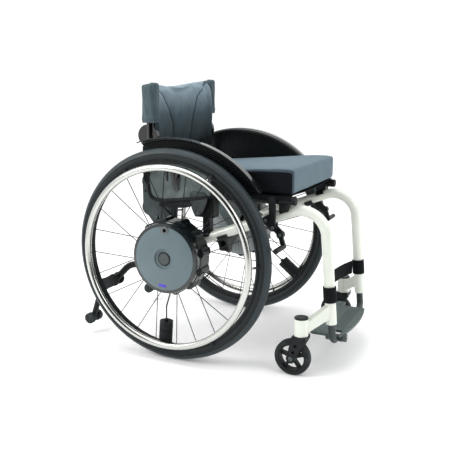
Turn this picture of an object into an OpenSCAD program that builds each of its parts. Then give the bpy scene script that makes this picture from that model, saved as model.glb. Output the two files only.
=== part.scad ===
// Folding wheelchair with two power-assist hub wheels.
// +X points forward, +Y to the sitter's left, +Z up, and the floor is z = 0.
// Every right-hand piece is drawn once, and the left-hand one is its mirror image.

/* [Power wheels] */
// Outer diameter of the rear tyres
tyre_d = 610; // [590:1:625]
// Width of the rear tyres
tyre_w = 34; // [28:1:38]
// Radial height of the tyre outside the rim
tyre_h = 29; // [24:1:34]
// Distance between the centre planes of the rear tyres
track = 510; // [508:1:540]
// Width of the wheel rim
rim_w = 22; // [20:1:26]
// Radial height of the wheel rim
rim_h = 14; // [12:1:18]
// Diameter of one spoke
spoke_d = 2.4; // [1.8:0.1:4]
// Number of lobes round the hub, each with a pair of spokes
lobe_count = 12; // [8:1:16]
// Radial distance of the push rim's edge inside the tyre's edge
handrim_inset = 40.5; // [36:0.5:47]
// Tube diameter of the push rim
handrim_tube_d = 19; // [16:0.5:21]
// Distance of the push rim outside the tyre's centre plane
handrim_out = 39; // [38:0.5:46]
// Number of clips that carry the push rim
clip_count = 6; // [4:1:8]
// Turn of the left wheel on its axle, degrees
left_angle = 55; // [0:5:355]

/* [Hub motors] */
// Diameter of the hub drum
hub_d = 206; // [200:1:212]
// Diameter over the hub's lobes
lobe_d = 222; // [216:1:228]
// Depth of the drum inside the tyre's centre plane
hub_in = 38; // [34:0.5:40]
// Depth of the drum outside the tyre's centre plane
hub_out = 16; // [14:0.5:18]
// Diameter of the hub cover
cover_d = 203; // [196:1:205]
// Height of the cover's dome
dome_h = 14; // [10:0.5:16]
// Diameter of the round release button
button_d = 40; // [34:1:44]
// Diameter of the axle
axle_d = 12.6; // [10:0.1:14]
// Bore of the charging socket
socket_bore = 11; // [9:0.5:12]
// Depth of the charging socket
socket_depth = 8; // [6:0.5:10]
// Diameter of the push rim's sensor housing
sensor_d = 39; // [30:1:39]
// Length of the push rim's sensor housing
sensor_l = 68; // [55:1:80]

/* [Side frames] */
// Diameter of the frame tubes
tube_d = 30; // [26:0.5:32]
// Wall of the frame tubes
tube_wall = 2.5; // [1.5:0.25:3.5]
// Distance of the frame tubes from the middle at the axle
frame_half = 195; // [193:1:197]
// Distance of the front tubes from the middle
front_half = 159; // [155:1:165]
// Distance of the front tube's foot in front of the rear tyres
front_gap = 141; // [135:1:150]
// Height of the front tube's foot
front_foot_z = 139; // [130:1:150]
// Height of the frame's upper front corner above the axle
corner_lift = 171; // [160:1:177]
// Setback of that corner behind the front tube's foot
corner_back = 29; // [20:1:40]
// Bend radius of the frame tube
frame_bend = 72; // [60:1:80]

/* [Casters] */
// Diameter of the caster wheels
caster_d = 102; // [96:1:103]
// Width of the caster tyres
caster_w = 24; // [20:1:26]
// Distance of the caster swivels from the middle
caster_half = 219; // [214:1:224]
// Distance of the caster swivels in front of the rear tyres
caster_gap = 74; // [69:1:79]
// Trail of the caster wheels
caster_trail = 22; // [15:1:26]
// Diameter of the caster housing
housing_d = 40; // [34:1:44]
// Height of the caster housing
housing_h = 47; // [40:1:55]

/* [Seat and back] */
// Height of the seat rails above the axle
rail_lift = 171; // [165:1:175]
// Distance of the seat rails from the middle
rail_half = 188; // [184:1:190]
// Diameter of the seat rails
rail_d = 24; // [20:0.5:25]
// Width of the cushion
cushion_w = 400; // [380:1:404]
// Depth of the cushion
cushion_l = 402; // [380:1:406]
// Height of the cushion at its crown
cushion_h = 70; // [55:1:80]
// Distance of the back posts behind the axle
post_back = 100; // [98:1:106]
// Distance of the back posts from the middle
post_half = 182; // [180:1:185]
// Diameter of the back posts
post_d = 25; // [22:0.5:26]
// Height of the back's top edge above the axle
back_lift = 484; // [445:1:515]
// Height of the back
back_h = 184; // [160:1:188]
// Backward sag of the back between its posts
back_sag = 34; // [20:1:45]

/* [Folding cross] */
// Distance of the lower pivots from the middle
pivot_half = 165; // [163:1:167]
// Height of the lower pivots above the axle
pivot_lift = 20; // [17:1:23]
// Reach of the cross in front of the axle
cross_reach = 138; // [132:1:144]
// Thickness of a cross bar
bar_t = 14; // [12:0.5:15]
// Width of a cross bar
bar_w = 24; // [18:0.5:26]

/* [Footrest] */
// Height of the footplate's top
plate_z = 104; // [103:0.5:110]
// Thickness of the footplate
plate_t = 7; // [5:0.5:7.5]
// Width of the footplate
plate_w = 296; // [284:1:296]
// Depth of the footplate
plate_l = 106; // [98:1:110]
// Diameter of the footrest hangers
hanger_d = 20; // [18:0.5:22]

/* [Guards, brakes and tip guards] */
// Distance of the guard plates from the middle
guard_half = 222; // [221:0.5:223]
// Thickness of the guards
guard_t = 3; // [2:0.25:3.5]
// Gap between the guard's edge and the tyre
guard_gap = 15; // [12:1:20]
// Width of the guard's outward lip
lip_w = 32; // [24:1:36]
// Length of a brake lever above its pivot
lever_l = 85; // [70:1:95]
// Diameter of the brake shoe
shoe_d = 14; // [10:0.5:16]
// Diameter of the tip guard's rollers
roller_d = 34; // [28:1:36]
// Diameter of the tip guard's tube
tip_tube_d = 20; // [16:0.5:22]

/* [Hidden] */
$fn = 64;
// Overrun of every cut
cut = 1;
// Radial gap of turning pins in their bores
pin_gap = 0.05;
// Gap of pieces that rest on each other
rest_gap = 0.3;
// Gap between pieces that pass each other
pass_gap = 2;
// Radial gap of a tube in its socket
socket_gap = 0.3;
// Half length and thickness of the collar at each end of a bend
collar_l = 1.5;
collar_t = 0.15;
// Width of a link's bar as a share of its smaller eye
waist_share = 0.92;

// Whole chair
tip_rear = 348;
plate_fore = 39;
front_reach = tyre_d / 2 + front_gap;
caster_reach = tyre_d / 2 + caster_gap;
plate_front = front_reach + plate_fore;
axle_x = (tip_rear - plate_front) / 2;
axle_z = tyre_d / 2;
corner_z = axle_z + corner_lift;
rail_z = axle_z + rail_lift;
pivot_z = axle_z + pivot_lift;
back_top = axle_z + back_lift;
back_low = back_top - back_h;
tube_r = tube_d / 2;

// Wheel, measured outwards from the tyre's centre plane
rim_r = tyre_d / 2 - tyre_h;
rim_in_r = rim_r - rim_h;
tyre_shoulder_share = 0.62;
tyre_groove_r = 1.2;
handrim_r = tyre_d / 2 - handrim_inset - handrim_tube_d / 2;
clip_r = 3;
clip_foot_r = 5;
clip_foot_h = 4;
clip_from = rim_w / 2 + rest_gap;
clip_ring = rim_r - clip_foot_r;
lobe_phase_share = 0.35;
lobe_r = 15;
lobe_inset = 4;
lobe_from = lobe_inset - hub_in;
lobe_to = hub_out - lobe_inset;
spoke_lean_angle = 9.5;
spoke_spread_angle = -2;
spoke_seat = 3;
spoke_out = 9;
sensor_out = 8;
sensor_clear = 1;
sensor_angle = -94;
seam_depth = 1.5;
seam_d = sensor_d - 2 * seam_depth;
seam_l = 2.5;
seam_share = 0.33;
sensor_neck_d = 12;
sensor_neck_l = 6;
lead_d = 4;
lead_swing = -2;
lead_bend = 30;
lead_angle = 5;

// Hub
hub_wall = 15;
hub_floor = 6;
cavity_r = hub_d / 2 - hub_wall;
boss_r = 18;
boss_h = 12;
groove_count = 24;
groove_from = 34;
groove_edge = 10;
groove_w = 5;
groove_depth = 2.5;
cover_wall = 3.5;
cover_lip = 4;
cover_side = 14;
cover_base = hub_out + cover_side;
dish_margin = 9;
dish_r = button_d / 2 + dish_margin;
dish_drop = 5;
dish_slope = 2;
dome_steps = 8;
button_gap = 0.4;
button_h = 10;
button_edge = 2;
stem_d = 6.3;
stem_l = 16;
axle_short = 8;
axle_out = cover_base - axle_short;
axle_overhang = 14;
axle_in = frame_half - axle_overhang;
stator_r = 70;
stator_from = -20;
stator_to = 0;
stator_core_share = 0.6;
tooth_count = 18;
tooth_slot = 6;
pack_from = 5;
pack_r_in = 26;
pack_gap = 0.2;
socket_d = 23;
socket_stand = 1.5;
port_r = 82;
light_r = 77;
light_angle = -94;
socket_angle = 87;
light_w = 24;
light_h = 8;
light_stand = 0.6;

// Side frame: a straight tube from the axle bracket, one bend, and the front tube
rear_fore = 34;
rear_up = 29;
rear_pt = [axle_x + rear_fore, -frame_half, axle_z + rear_up];
corner_pt = [axle_x + front_reach - corner_back, -front_half, corner_z];
foot_pt = [axle_x + front_reach, -front_half, front_foot_z];
caster_x = axle_x + caster_reach;
fork_room = 14.5;
housing_low = caster_d + fork_room;
housing_top = housing_low + housing_h;
arm_h = 40;
arm_t = 20;
arm_lift = 44;
stem_r = 8;
cap_h = 4;
cap_inset = 1;
crown_h = 10;
crown_r = housing_d / 2;
blade_t = 5;
blade_gap = 3.5;
blade_foot_r = 13;
blade_hole_r = 4.5;
blade_hole_shares = [0.3, 0.58];
caster_axle_r = 4;
caster_hub_r = 12;
caster_rim_t = 5;
caster_tyre_h = 11;
caster_spokes = 5;
caster_spoke_w = 9;
caster_round = 7;

// Seat
rail_r = rail_d / 2;
rail_fore = 345;
rail_aft = 60;
rail_front = axle_x + rail_fore;
rail_rear = axle_x - rail_aft;
rail_cap = 4;
sling_t = 3.5;
sling_sag = 7;
sling_hem = 2.4;
sling_steps = 16;
sling_z = rail_z + rail_r + rest_gap + sling_hem / 3;
cushion_low = sling_z + sling_t + rest_gap;
cushion_corner_share = 0.1;
cushion_ring_n = 48;
cushion_level_shares = [[0, 0.72], [0, 0.95], [0.04, 0.982], [0.13, 0.998], [0.32, 0.994], [0.5, 0.99],
    [0.68, 0.994], [0.84, 0.995], [0.92, 0.975], [0.958, 0.93], [0.978, 0.8], [0.992, 0.55], [1, 0.25]];
clip_l = 24;
clip_w = 10;
clip_seat = 8;
rear_clip_w = 30;
front_clip_fore = 312;
rear_clip_fore = 86;
front_clip_x = axle_x + front_clip_fore;
rear_clip_x = axle_x + rear_clip_fore;
rear_clip_l = 52;
rear_clip_h = 62;
rear_clip_post = 22;

// Back
post_x = axle_x - post_back;
post_lift = 100;
post_low = axle_z + post_lift;
post_r = post_d / 2;
cushion_gap = 27.5;
cushion_mid = post_x + post_r + cushion_gap + cushion_l / 2;
knuckle_r = 32;
knuckle_t = 12;
knuckle_back = 8;
knuckle_up = 231;
sleeve_t = 4.5;
sleeve_drop = 104;
back_t = 20;
back_edge_t = 9;
back_dip = 14;
back_cols = 28;
back_rows = 10;
back_gap = 1;
back_half = post_half - post_r - back_gap;
pleat_depth = 5;
pleat_shares = [0.2, 0.8];
pleat_width_share = 0.045;

// Axle and back bracket
bracket_t = 12;
bracket_y = -frame_half;
bracket_rise = 224;
bracket_top = axle_z + bracket_rise;
bracket_web_r = 20;
bracket_arm_r = 16;
bracket_lift = 10;
bracket_w = 48;
bracket_plate_t = 5;
bracket_hole_r = 4;
bracket_hole_zs = [133, 172];
guard_boss_zs = [186, 208];
guard_boss_r = 5;
guard_boss_fore = 18;
post_socket_wall = 4.5;
post_socket_r = post_r + post_socket_wall;
tube_socket_l = 16;
tube_socket_wall = 4;
tube_socket_r = tube_r + tube_socket_wall;
sleeve_r = 17;
sleeve_from = frame_half - axle_overhang;
sleeve_to = track / 2 - hub_in - pass_gap;

// Folding cross
pivot_r = 6;
pivot_eye_r = 13;
bar_gap = pass_gap;
bar_a_x = axle_x + cross_reach - (bar_t + bar_gap) / 2;
bar_b_x = axle_x + cross_reach + (bar_t + bar_gap) / 2;
cross_z = pivot_z + (rail_z - pivot_z) * pivot_half / (pivot_half + rail_half);
bar_angle = atan2(rail_z - pivot_z, pivot_half + rail_half);
bar_l = norm([pivot_half + rail_half, rail_z - pivot_z]);
cross_pin_r = 7;
cross_head_r = 12;
cross_head_h = 5;
ear_t = 7;
ear_gap = 1;
clamp_wall = 5;
saddle_from = 5;
clamp_l = bar_t + 2 * ear_gap + 2 * ear_t;

// Footrest
hanger_r = hanger_d / 2;
hanger_in = 90;
hanger_top_z = front_foot_z + hanger_in;
hanger_bend = 24;
barrel_r = 10;
barrel_l = 36;
barrel_inset = 28;
barrel_half = plate_w / 2 - barrel_inset;
barrel_z = plate_z - plate_t - rest_gap - barrel_r;
hinge_pin_r = 5;
hinge_ear_t = 10;
hinge_ear_r = 9.5;
notch_d = 36;
notch_rear = 44;
notch_fore = 26;
notch_room = 4;
plate_rear_x = axle_x + plate_front - plate_l;
plate_bow = 18;
plate_corner_r = 14;
rib_count = 6;
rib_w = 2;
rib_h = 1.2;
rib_pitch = 6;
rib_inset = 60;
strap_z = 222;
strap_h = 42;
strap_t = 4;
strap_sag = 16;
strap_steps = 12;

// Guard, in the wheel's own frame
guard_r = tyre_d / 2 + guard_gap;
lip_bend = 14;
lip_trim = 0.5;
guard_from_angle = 36;
guard_to_angle = 109;
guard_low = 151;
guard_skirt = -10;
guard_tail = 88;
guard_tail_h = 212;
guard_corner = 30;
guard_corner_steps = 8;

// Brake
brake_clamp_inset = 37;
brake_clamp_x = axle_x + tyre_d / 2 - brake_clamp_inset;
brake_clamp_l = 26;
brake_plate_t = 6;
brake_out = 11;
brake_y = -frame_half - brake_out;
lever_inset = 14;
lever_lift = 99;
lever_x = axle_x + tyre_d / 2 - lever_inset;
lever_z = axle_z + lever_lift;
lever_t = 9;
lever_w = 21;
lever_root_w = 13;
lever_lean = 4;
shoe_pivot_fore = 21;
shoe_pivot_drop = 18;
shoe_pivot_x = lever_x + shoe_pivot_fore;
shoe_pivot_z = lever_z - shoe_pivot_drop;
shoe_drop = 31;
shoe_fore = 10;
shoe_arm_w = 13;
brake_pin_r = 4.5;
brake_eye_r = 10;
brake_plate_w = 24;

// Tip guard
tip_half = frame_half - bracket_t / 2 - rest_gap - tip_tube_d / 2;
tip_from_back = 14;
tip_from_drop = 34;
tip_knee_back = 190;
tip_knee_drop = 66;
tip_end_back = 240;
tip_end_drop = 117;
tip_from = [axle_x - tip_from_back, -tip_half, axle_z - tip_from_drop];
tip_knee = [axle_x - tip_knee_back, -tip_half, axle_z - tip_knee_drop];
tip_end = [axle_x - tip_end_back, -tip_half, axle_z - tip_end_drop];
tip_bend = 60;
tip_pivot_back = 294;
tip_pivot_drop = 144;
tip_pivot_x = axle_x - tip_pivot_back;
tip_pivot_z = axle_z - tip_pivot_drop;
tip_pivot_r = 7;
tip_washer_r = 13;
tip_plate_t = 6;
tip_plate_r = 19;
tip_leg_t = tip_tube_d;
roller_x = axle_x - (tip_rear - roller_d / 2);
roller_lift = 35;
roller_z = roller_d / 2 + roller_lift;
roller_w = 14;
roller_axle_r = 4;
tip_fork_r = 10;

white_paint = [0.90, 0.90, 0.88];
black_metal = [0.09, 0.09, 0.10];
dark_grey = [0.20, 0.21, 0.23];
slate = [0.22, 0.24, 0.28];
tyre_black = [0.13, 0.13, 0.14];
bright_steel = [0.80, 0.79, 0.76];
hub_grey = [0.36, 0.39, 0.43];
carbon = [0.07, 0.07, 0.08];
violet = [0.45, 0.30, 0.95];

// Common shapes

function unit(v) = v / norm(v);

function corner_half(a, b, c) = acos(unit(a - b) * unit(c - b)) / 2;

function on_line(a, b, x) = a + (b - a) * (x - a[0]) / (b[0] - a[0]);

module left() mirror([0, 1, 0]) children();

module rod(a, b, r) {
    v = b - a;
    translate(a) rotate([0, acos(v[2] / norm(v)), atan2(v[1], v[0])]) cylinder(h = norm(v), r = r);
}

// Part of a ring that rounds the corner b between the points a and c
module elbow(a, b, c, r, bend) {
    half = corner_half(a, b, c);
    u = unit(a - b);
    mid = unit(u + unit(c - b));
    centre = b + mid * bend / sin(half);
    ex = unit(b + u * bend / tan(half) - centre);
    ey = -u;
    ez = cross(ex, ey);
    multmatrix([[ex[0], ey[0], ez[0], centre[0]], [ex[1], ey[1], ez[1], centre[1]],
        [ex[2], ey[2], ez[2], centre[2]], [0, 0, 0, 1]])
        rotate_extrude(angle = 180 - 2 * half) translate([bend, 0]) circle(r = r);
}

// Round bar through three points with one bend, and a thin collar at each end of the bend
module bent_rod(a, b, c, r, bend) {
    reach = bend / tan(corner_half(a, b, c));
    elbow(a, b, c, r, bend);
    for (end = [a, c]) {
        along = unit(end - b);
        from = b + along * reach;
        rod(from, end, r);
        rod(from - along * collar_l, from + along * collar_l, r + collar_t);
    }
}

// Cylinder along Y, from y0 to y1
module along_y(x, z, y0, y1, r) translate([x, min(y0, y1), z]) rotate([-90, 0, 0])
    cylinder(h = abs(y1 - y0), r = r);

// Cylinder along X, from x0 to x1
module along_x(x0, x1, y, z, r) translate([x0, y, z]) rotate([0, 90, 0]) cylinder(h = x1 - x0, r = r);

// Plate in the XZ plane between y0 and y1
module plate_xz(y0, y1) translate([0, y1, 0]) rotate([90, 0, 0]) linear_extrude(y1 - y0) children();

// Bar with two round ends in the XZ plane
module link_2d(a, b, ra, rb) {
    translate(a) circle(r = ra);
    translate(b) circle(r = rb);
    d = b - a;
    w = min(ra, rb) * waist_share;
    translate(a) rotate(atan2(d[1], d[0])) translate([0, -w]) square([norm(d), 2 * w]);
}

// The right wheel's own frame: local z points outwards from the tyre's centre plane
module wheel_frame(turn) translate([axle_x, -track / 2, axle_z]) rotate([90, 0, 0]) rotate(turn) children();

// Power wheel

module tyre(turn) color(tyre_black) wheel_frame(turn) rotate_extrude() difference() {
    union() {
        translate([tyre_d / 2 - tyre_w / 2, 0]) circle(d = tyre_w);
        translate([rim_r, -tyre_w / 2 * tyre_shoulder_share])
            square([tyre_h - tyre_w / 2, tyre_w * tyre_shoulder_share]);
    }
    translate([0, -tyre_w]) square([rim_r, 2 * tyre_w]);
    for (s = [-1, 1]) translate([tyre_d / 2 - tyre_w / 2, s * tyre_w / 2]) circle(r = tyre_groove_r);
}

module rim(turn) color(black_metal) wheel_frame(turn) rotate_extrude() polygon([[rim_r, -rim_w / 2],
    [rim_r, rim_w / 2], [rim_r - rim_h / 2, rim_w / 2], [rim_in_r, rim_w / 4], [rim_in_r, -rim_w / 4],
    [rim_r - rim_h / 2, -rim_w / 2]]);

function polar(r, a, z) = [r * cos(a), r * sin(a), z];

module spokes(turn) color(black_metal) wheel_frame(turn) for (i = [0:lobe_count - 1], s = [-1, 1]) {
    a = (i + lobe_phase_share) * 360 / lobe_count;
    side = s * (i % 2 == 0 ? 1 : -1);
    rod(polar(lobe_d / 2 - spoke_seat, a + s * spoke_spread_angle, side * spoke_out),
        polar(rim_in_r + spoke_seat, a + s * (spoke_spread_angle + spoke_lean_angle), 0), spoke_d / 2);
}

module handrim(turn) color(bright_steel) wheel_frame(turn) {
    rotate_extrude() translate([handrim_r, handrim_out]) circle(d = handrim_tube_d);
    for (i = [0:clip_count - 1]) rotate(i * 360 / clip_count) {
        rod([clip_ring, 0, clip_from + clip_foot_h / 2], [handrim_r, 0, handrim_out], clip_r);
        translate([clip_ring, 0, clip_from]) cylinder(h = clip_foot_h, r = clip_foot_r);
    }
}

module hub_shell(turn) color(black_metal) wheel_frame(turn) {
    difference() {
        union() {
            translate([0, 0, -hub_in]) cylinder(h = hub_in + hub_out, d = hub_d);
            for (i = [0:lobe_count - 1]) rotate((i + lobe_phase_share) * 360 / lobe_count)
                translate([lobe_d / 2 - lobe_r, 0, lobe_from])
                    cylinder(h = lobe_to - lobe_from, r = lobe_r);
        }
        translate([0, 0, -hub_in + hub_floor]) cylinder(h = hub_in + hub_out, r = cavity_r);
        translate([0, 0, -hub_in - cut]) cylinder(h = hub_floor + 2 * cut, r = boss_r - cut);
        for (i = [0:groove_count - 1]) rotate(i * 360 / groove_count)
            translate([groove_from, -groove_w / 2, -hub_in - cut])
                cube([hub_d / 2 - groove_edge - groove_from, groove_w, groove_depth + cut]);
    }
    translate([0, 0, -hub_in]) difference() {
        cylinder(h = boss_h, r = boss_r);
        translate([0, 0, -cut]) cylinder(h = boss_h + 2 * cut, d = axle_d + 2 * pin_gap);
    }
}

// Height of the cover's outer face at radius r
function cover_z(r) = let (share = r / (cover_d / 2 + cover_lip))
    cover_base + cover_lip + (dome_h - cover_lip) * sqrt(1 - share * share);

// Section of the cover: a low dome with a round dish in the middle
module cover_section() {
    edge = cover_d / 2;
    floor_z = cover_z(dish_r) - dish_drop;
    hole = button_d / 2 + button_gap;
    function dome(drop, far) = [for (i = [0:dome_steps])
        let (r = far + (dish_r + drop - far) * i / dome_steps) [r, cover_z(r) - drop]];
    polygon(concat([[edge, hub_out]], [[edge, cover_base + cover_lip / 2]], dome(0, edge - cover_lip / 2),
        [[dish_r - dish_slope, floor_z], [hole, floor_z]],
        [[hole, floor_z - cover_wall], [dish_r, floor_z - cover_wall]],
        [for (i = [dome_steps:-1:0]) dome(cover_wall, edge - cover_wall)[i]],
        [[edge - cover_wall, hub_out]]));
}

module hub_cover(turn) color(hub_grey) wheel_frame(turn) difference() {
    rotate_extrude() cover_section();
    rotate(socket_angle) translate([port_r, 0, cover_base - cut])
        cylinder(h = 2 * dome_h, r = socket_d / 2 + pin_gap);
    rotate(light_angle) translate([light_r, 0, cover_base - cut]) light_body(2 * dome_h);
}

module light_body(h) linear_extrude(h) {
    square([light_h, light_w - light_h], center = true);
    for (s = [-1, 1]) translate([0, s * (light_w - light_h) / 2]) circle(d = light_h);
}

module status_light(turn) color(violet) wheel_frame(turn) rotate(light_angle)
    translate([light_r, 0, cover_base]) light_body(cover_z(light_r) + light_stand - cover_base);

module charge_socket(turn) color(bright_steel) wheel_frame(turn) rotate(socket_angle)
    translate([port_r, 0, cover_base]) difference() {
    cylinder(h = cover_z(port_r) + socket_stand - cover_base, d = socket_d);
    translate([0, 0, cover_z(port_r) + socket_stand - cover_base - socket_depth])
        cylinder(h = socket_depth + cut, d = socket_bore);
}

module release_button() color(dark_grey) wheel_frame(0) {
    top = cover_z(dish_r) - dish_drop + button_edge;
    translate([0, 0, top - button_h]) rotate_extrude() polygon([[0, 0], [button_d / 2, 0],
        [button_d / 2, button_h - button_edge], [button_d / 2 - button_edge, button_h], [0, button_h]]);
    translate([0, 0, top - button_h - stem_l]) cylinder(h = stem_l + cut, d = stem_d);
}

module rim_sensor(turn) color(black_metal) wheel_frame(turn) rotate(sensor_angle) {
    far = rim_in_r - sensor_clear;
    near = far - sensor_l;
    seam = near + sensor_l * seam_share;
    difference() {
        rod([near, 0, sensor_out], [far, 0, sensor_out], sensor_d / 2);
        difference() {
            rod([seam, 0, sensor_out], [seam + seam_l, 0, sensor_out], sensor_d / 2 + cut);
            rod([seam - cut, 0, sensor_out], [seam + seam_l + cut, 0, sensor_out], seam_d / 2);
        }
    }
    rod([near - sensor_neck_l, 0, sensor_out], [near, 0, sensor_out], sensor_neck_d / 2);
    bent_rod([near - sensor_neck_l / 2, 0, sensor_out], [(near + hub_d / 2) / 2, lead_swing, sensor_out],
        polar(hub_d / 2 + rest_gap + lead_d / 4, lead_angle, sensor_out), lead_d / 2, lead_bend);
}

module battery_pack(turn) color(dark_grey) wheel_frame(turn) translate([0, 0, pack_from]) difference() {
    cylinder(h = cover_base - pack_gap - pack_from, r = cavity_r - pack_gap);
    translate([0, 0, -cut]) cylinder(h = cover_base + 2 * cut, r = pack_r_in);
}

module motor_axle() color(bright_steel) wheel_frame(0) difference() {
    union() {
        translate([0, 0, axle_in - track / 2]) cylinder(h = axle_out + track / 2 - axle_in, d = axle_d);
        translate([0, 0, stator_from]) difference() {
            cylinder(h = stator_to - stator_from, r = stator_r);
            for (i = [0:tooth_count - 1]) rotate(i * 360 / tooth_count)
                translate([stator_r * stator_core_share, -tooth_slot / 2, -cut])
                    cube([stator_r, tooth_slot, stator_to - stator_from + 2 * cut]);
        }
    }
    translate([0, 0, axle_out - stem_l]) cylinder(h = stem_l + cut, d = stem_d + 2 * pin_gap);
}

// Side frame

module frame_tube(r) bent_rod(rear_pt, corner_pt, foot_pt, r, frame_bend);

function main_at(x) = on_line(rear_pt, corner_pt, x);

function front_at(z) = foot_pt + (corner_pt - foot_pt) * (z - foot_pt[2]) / (corner_pt[2] - foot_pt[2]);

module side_frame() color(white_paint) {
    arm_from = [caster_x, -caster_half, housing_low];
    arm_to = front_at(housing_low + arm_lift);
    turn = atan2(arm_to[1] - arm_from[1], arm_to[0] - arm_from[0]);
    run = norm([arm_to[0] - arm_from[0], arm_to[1] - arm_from[1]]);
    difference() {
        union() {
            frame_tube(tube_r);
            translate([caster_x, -caster_half, housing_low]) cylinder(h = housing_h, d = housing_d);
            translate(arm_from) rotate([0, 0, turn]) plate_xz(-arm_t / 2, arm_t / 2)
                polygon([[0, 0], [run, arm_lift], [run, arm_lift + arm_h], [housing_d / 2, arm_h],
                    [0, arm_h]]);
        }
        rod(foot_pt + unit(foot_pt - corner_pt) * cut, front_at(hanger_top_z + tube_d), tube_r - tube_wall);
        translate([caster_x, -caster_half, housing_low - cut])
            cylinder(h = housing_h + 2 * cut, r = stem_r + pin_gap);
    }
}

module hanger(pinned) color(dark_grey) {
    low = [front_at(barrel_z)[0], -front_half, barrel_z];
    bent_rod(front_at(hanger_top_z), low, [low[0], -barrel_half, barrel_z], hanger_r, hanger_bend);
    rod(front_at(front_foot_z + tube_d), front_at(hanger_top_z), tube_r - tube_wall - socket_gap);
    along_x(low[0] - barrel_l / 2, low[0] + barrel_l / 2, -barrel_half, barrel_z, barrel_r);
    pin_l = barrel_l / 2 + hinge_ear_t + 2 * ear_gap;
    if (pinned)
        along_x(low[0] - pin_l, low[0] + pin_l, -barrel_half, barrel_z, hinge_pin_r);
}

module axle_bracket() color(black_metal) {
    y0 = bracket_y - bracket_t / 2;
    y1 = bracket_y + bracket_t / 2;
    axle = [axle_x, axle_z];
    half_w = bracket_w / 2;
    face_y = -post_half - post_socket_r;
    tube_in = main_at(rear_pt[0] + tube_socket_l);
    difference() {
        union() {
            plate_xz(y0, y1) {
                link_2d(axle, [rear_pt[0], rear_pt[2] + bracket_lift], bracket_arm_r, bracket_arm_r);
                link_2d(axle, [post_x, post_low + half_w], bracket_web_r, half_w);
                link_2d([rear_pt[0], rear_pt[2]], [post_x, post_low + bracket_w], bracket_arm_r,
                    bracket_arm_r);
                link_2d(axle, [tip_from[0], tip_from[2]], bracket_arm_r, bracket_arm_r);
            }
            plate_xz(face_y, face_y + bracket_plate_t)
                link_2d([post_x, post_low + half_w], [post_x, bracket_top - half_w], half_w, half_w);
            for (h = guard_boss_zs)
                along_y(post_x + guard_boss_fore, axle_z + h, guard_t / 2 + rest_gap - guard_half,
                    face_y + cut, guard_boss_r);
            translate([post_x, -post_half, post_low])
                cylinder(h = bracket_top - post_low, r = post_socket_r);
            along_y(axle_x, axle_z, -sleeve_from, -sleeve_to, sleeve_r);
            rod(rear_pt + unit(rear_pt - corner_pt) * cut, tube_in, tube_socket_r);
        }
        rod(rear_pt, corner_pt, tube_r + socket_gap);
        translate([post_x, -post_half, post_low + bracket_plate_t])
            cylinder(h = bracket_top, r = post_r + socket_gap);
        along_y(axle_x, axle_z, -axle_in + cut, -track / 2, axle_d / 2 + pin_gap);
        for (h = bracket_hole_zs)
            along_y(post_x - half_w / 2, axle_z + h, face_y - cut, -post_half - post_r - socket_gap,
                bracket_hole_r);
    }
}

module back_post() color(black_metal) {
    translate([post_x, -post_half, post_low + bracket_plate_t + socket_gap])
        cylinder(h = back_top - back_dip - post_low - bracket_plate_t, r = post_r);
    along_y(post_x - knuckle_back, post_low + knuckle_up, -post_half - knuckle_t / 2,
        knuckle_t / 2 - post_half, knuckle_r);
}

// Seat clips, brace bracket and brake base: dark pieces clamped on the frame tube
// side is 1 under the tube and -1 on top of it
module tube_saddle(x, l, side) {
    v = unit(corner_pt - rear_pt);
    r = tube_r + clamp_wall;
    translate(main_at(x)) rotate([0, acos(v[2]), atan2(v[1], v[0])]) translate([0, 0, -l / 2])
    intersection() {
        cylinder(h = l, r = r);
        translate([side > 0 ? saddle_from : -r - cut, -r - cut, -cut])
            cube([r - saddle_from + cut, 2 * (r + cut), l + 2 * cut]);
    }
}

module frame_clamps(bar_x) color(black_metal) difference() {
    union() {
        seat_clip(front_clip_x, clip_l, 0);
        seat_clip(rear_clip_x, rear_clip_l, rear_clip_h);
        brace_bracket(bar_x);
        brake_base();
        translate([caster_x, -caster_half, housing_top]) cylinder(h = cap_h, r = housing_d / 2 - cap_inset);
    }
    frame_tube(tube_r + socket_gap);
}

// Saddle under the seat rail; head is the height of its block over a slimmer post
module seat_clip(x, l, head) {
    at = main_at(x);
    y_mid = (at[1] - rail_half) / 2;
    w = abs(at[1] + rail_half) + (head > 0 ? rear_clip_w : clip_w);
    block_low = head > 0 ? rail_z - head : at[2] + clip_seat;
    difference() {
        union() {
            tube_saddle(x, head > 0 ? rear_clip_post : l, -1);
            translate([x - l / 2, y_mid - w / 2, block_low]) cube([l, w, rail_z - block_low]);
            if (head > 0)
                translate([x - rear_clip_post / 2, at[1] - rear_clip_post / 2, at[2]])
                    cube([rear_clip_post, rear_clip_post, rail_z - at[2] - head / 2]);
        }
        along_x(x - l, x + l, -rail_half, rail_z, rail_r + rest_gap);
    }
}

module brace_bracket(bar_x) {
    at = main_at(bar_x);
    tube_saddle(bar_x, clamp_l, 1);
    for (s = [-1, 1]) translate([bar_x + s * (bar_t / 2 + ear_gap + ear_t / 2), 0, 0])
        rotate([90, 0, 90]) translate([0, 0, -ear_t / 2]) linear_extrude(ear_t)
            link_2d([-pivot_half, pivot_z], [at[1], at[2] - saddle_from], pivot_eye_r, tube_r * waist_share);
    along_x(bar_x - clamp_l / 2, bar_x + clamp_l / 2, -pivot_half, pivot_z, pivot_r);
}

module brake_base() {
    at = main_at(brake_clamp_x);
    tube_saddle(brake_clamp_x, brake_clamp_l, 1);
    plate_xz(brake_y, brake_y + brake_plate_t) {
        link_2d([at[0], at[2]], [lever_x, lever_z], brake_plate_w / 2, brake_plate_w / 2);
        link_2d([lever_x, lever_z], [shoe_pivot_x, shoe_pivot_z], brake_plate_w / 2, brake_eye_r);
    }
    along_y(at[0], at[2], brake_y + brake_plate_t / 2, at[1], brake_plate_w / 2);
    for (p = [[lever_x, lever_z], [shoe_pivot_x, shoe_pivot_z]])
        along_y(p[0], p[1], brake_y + cut, brake_y - lever_t - 2 * ear_gap, brake_pin_r);
}

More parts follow.
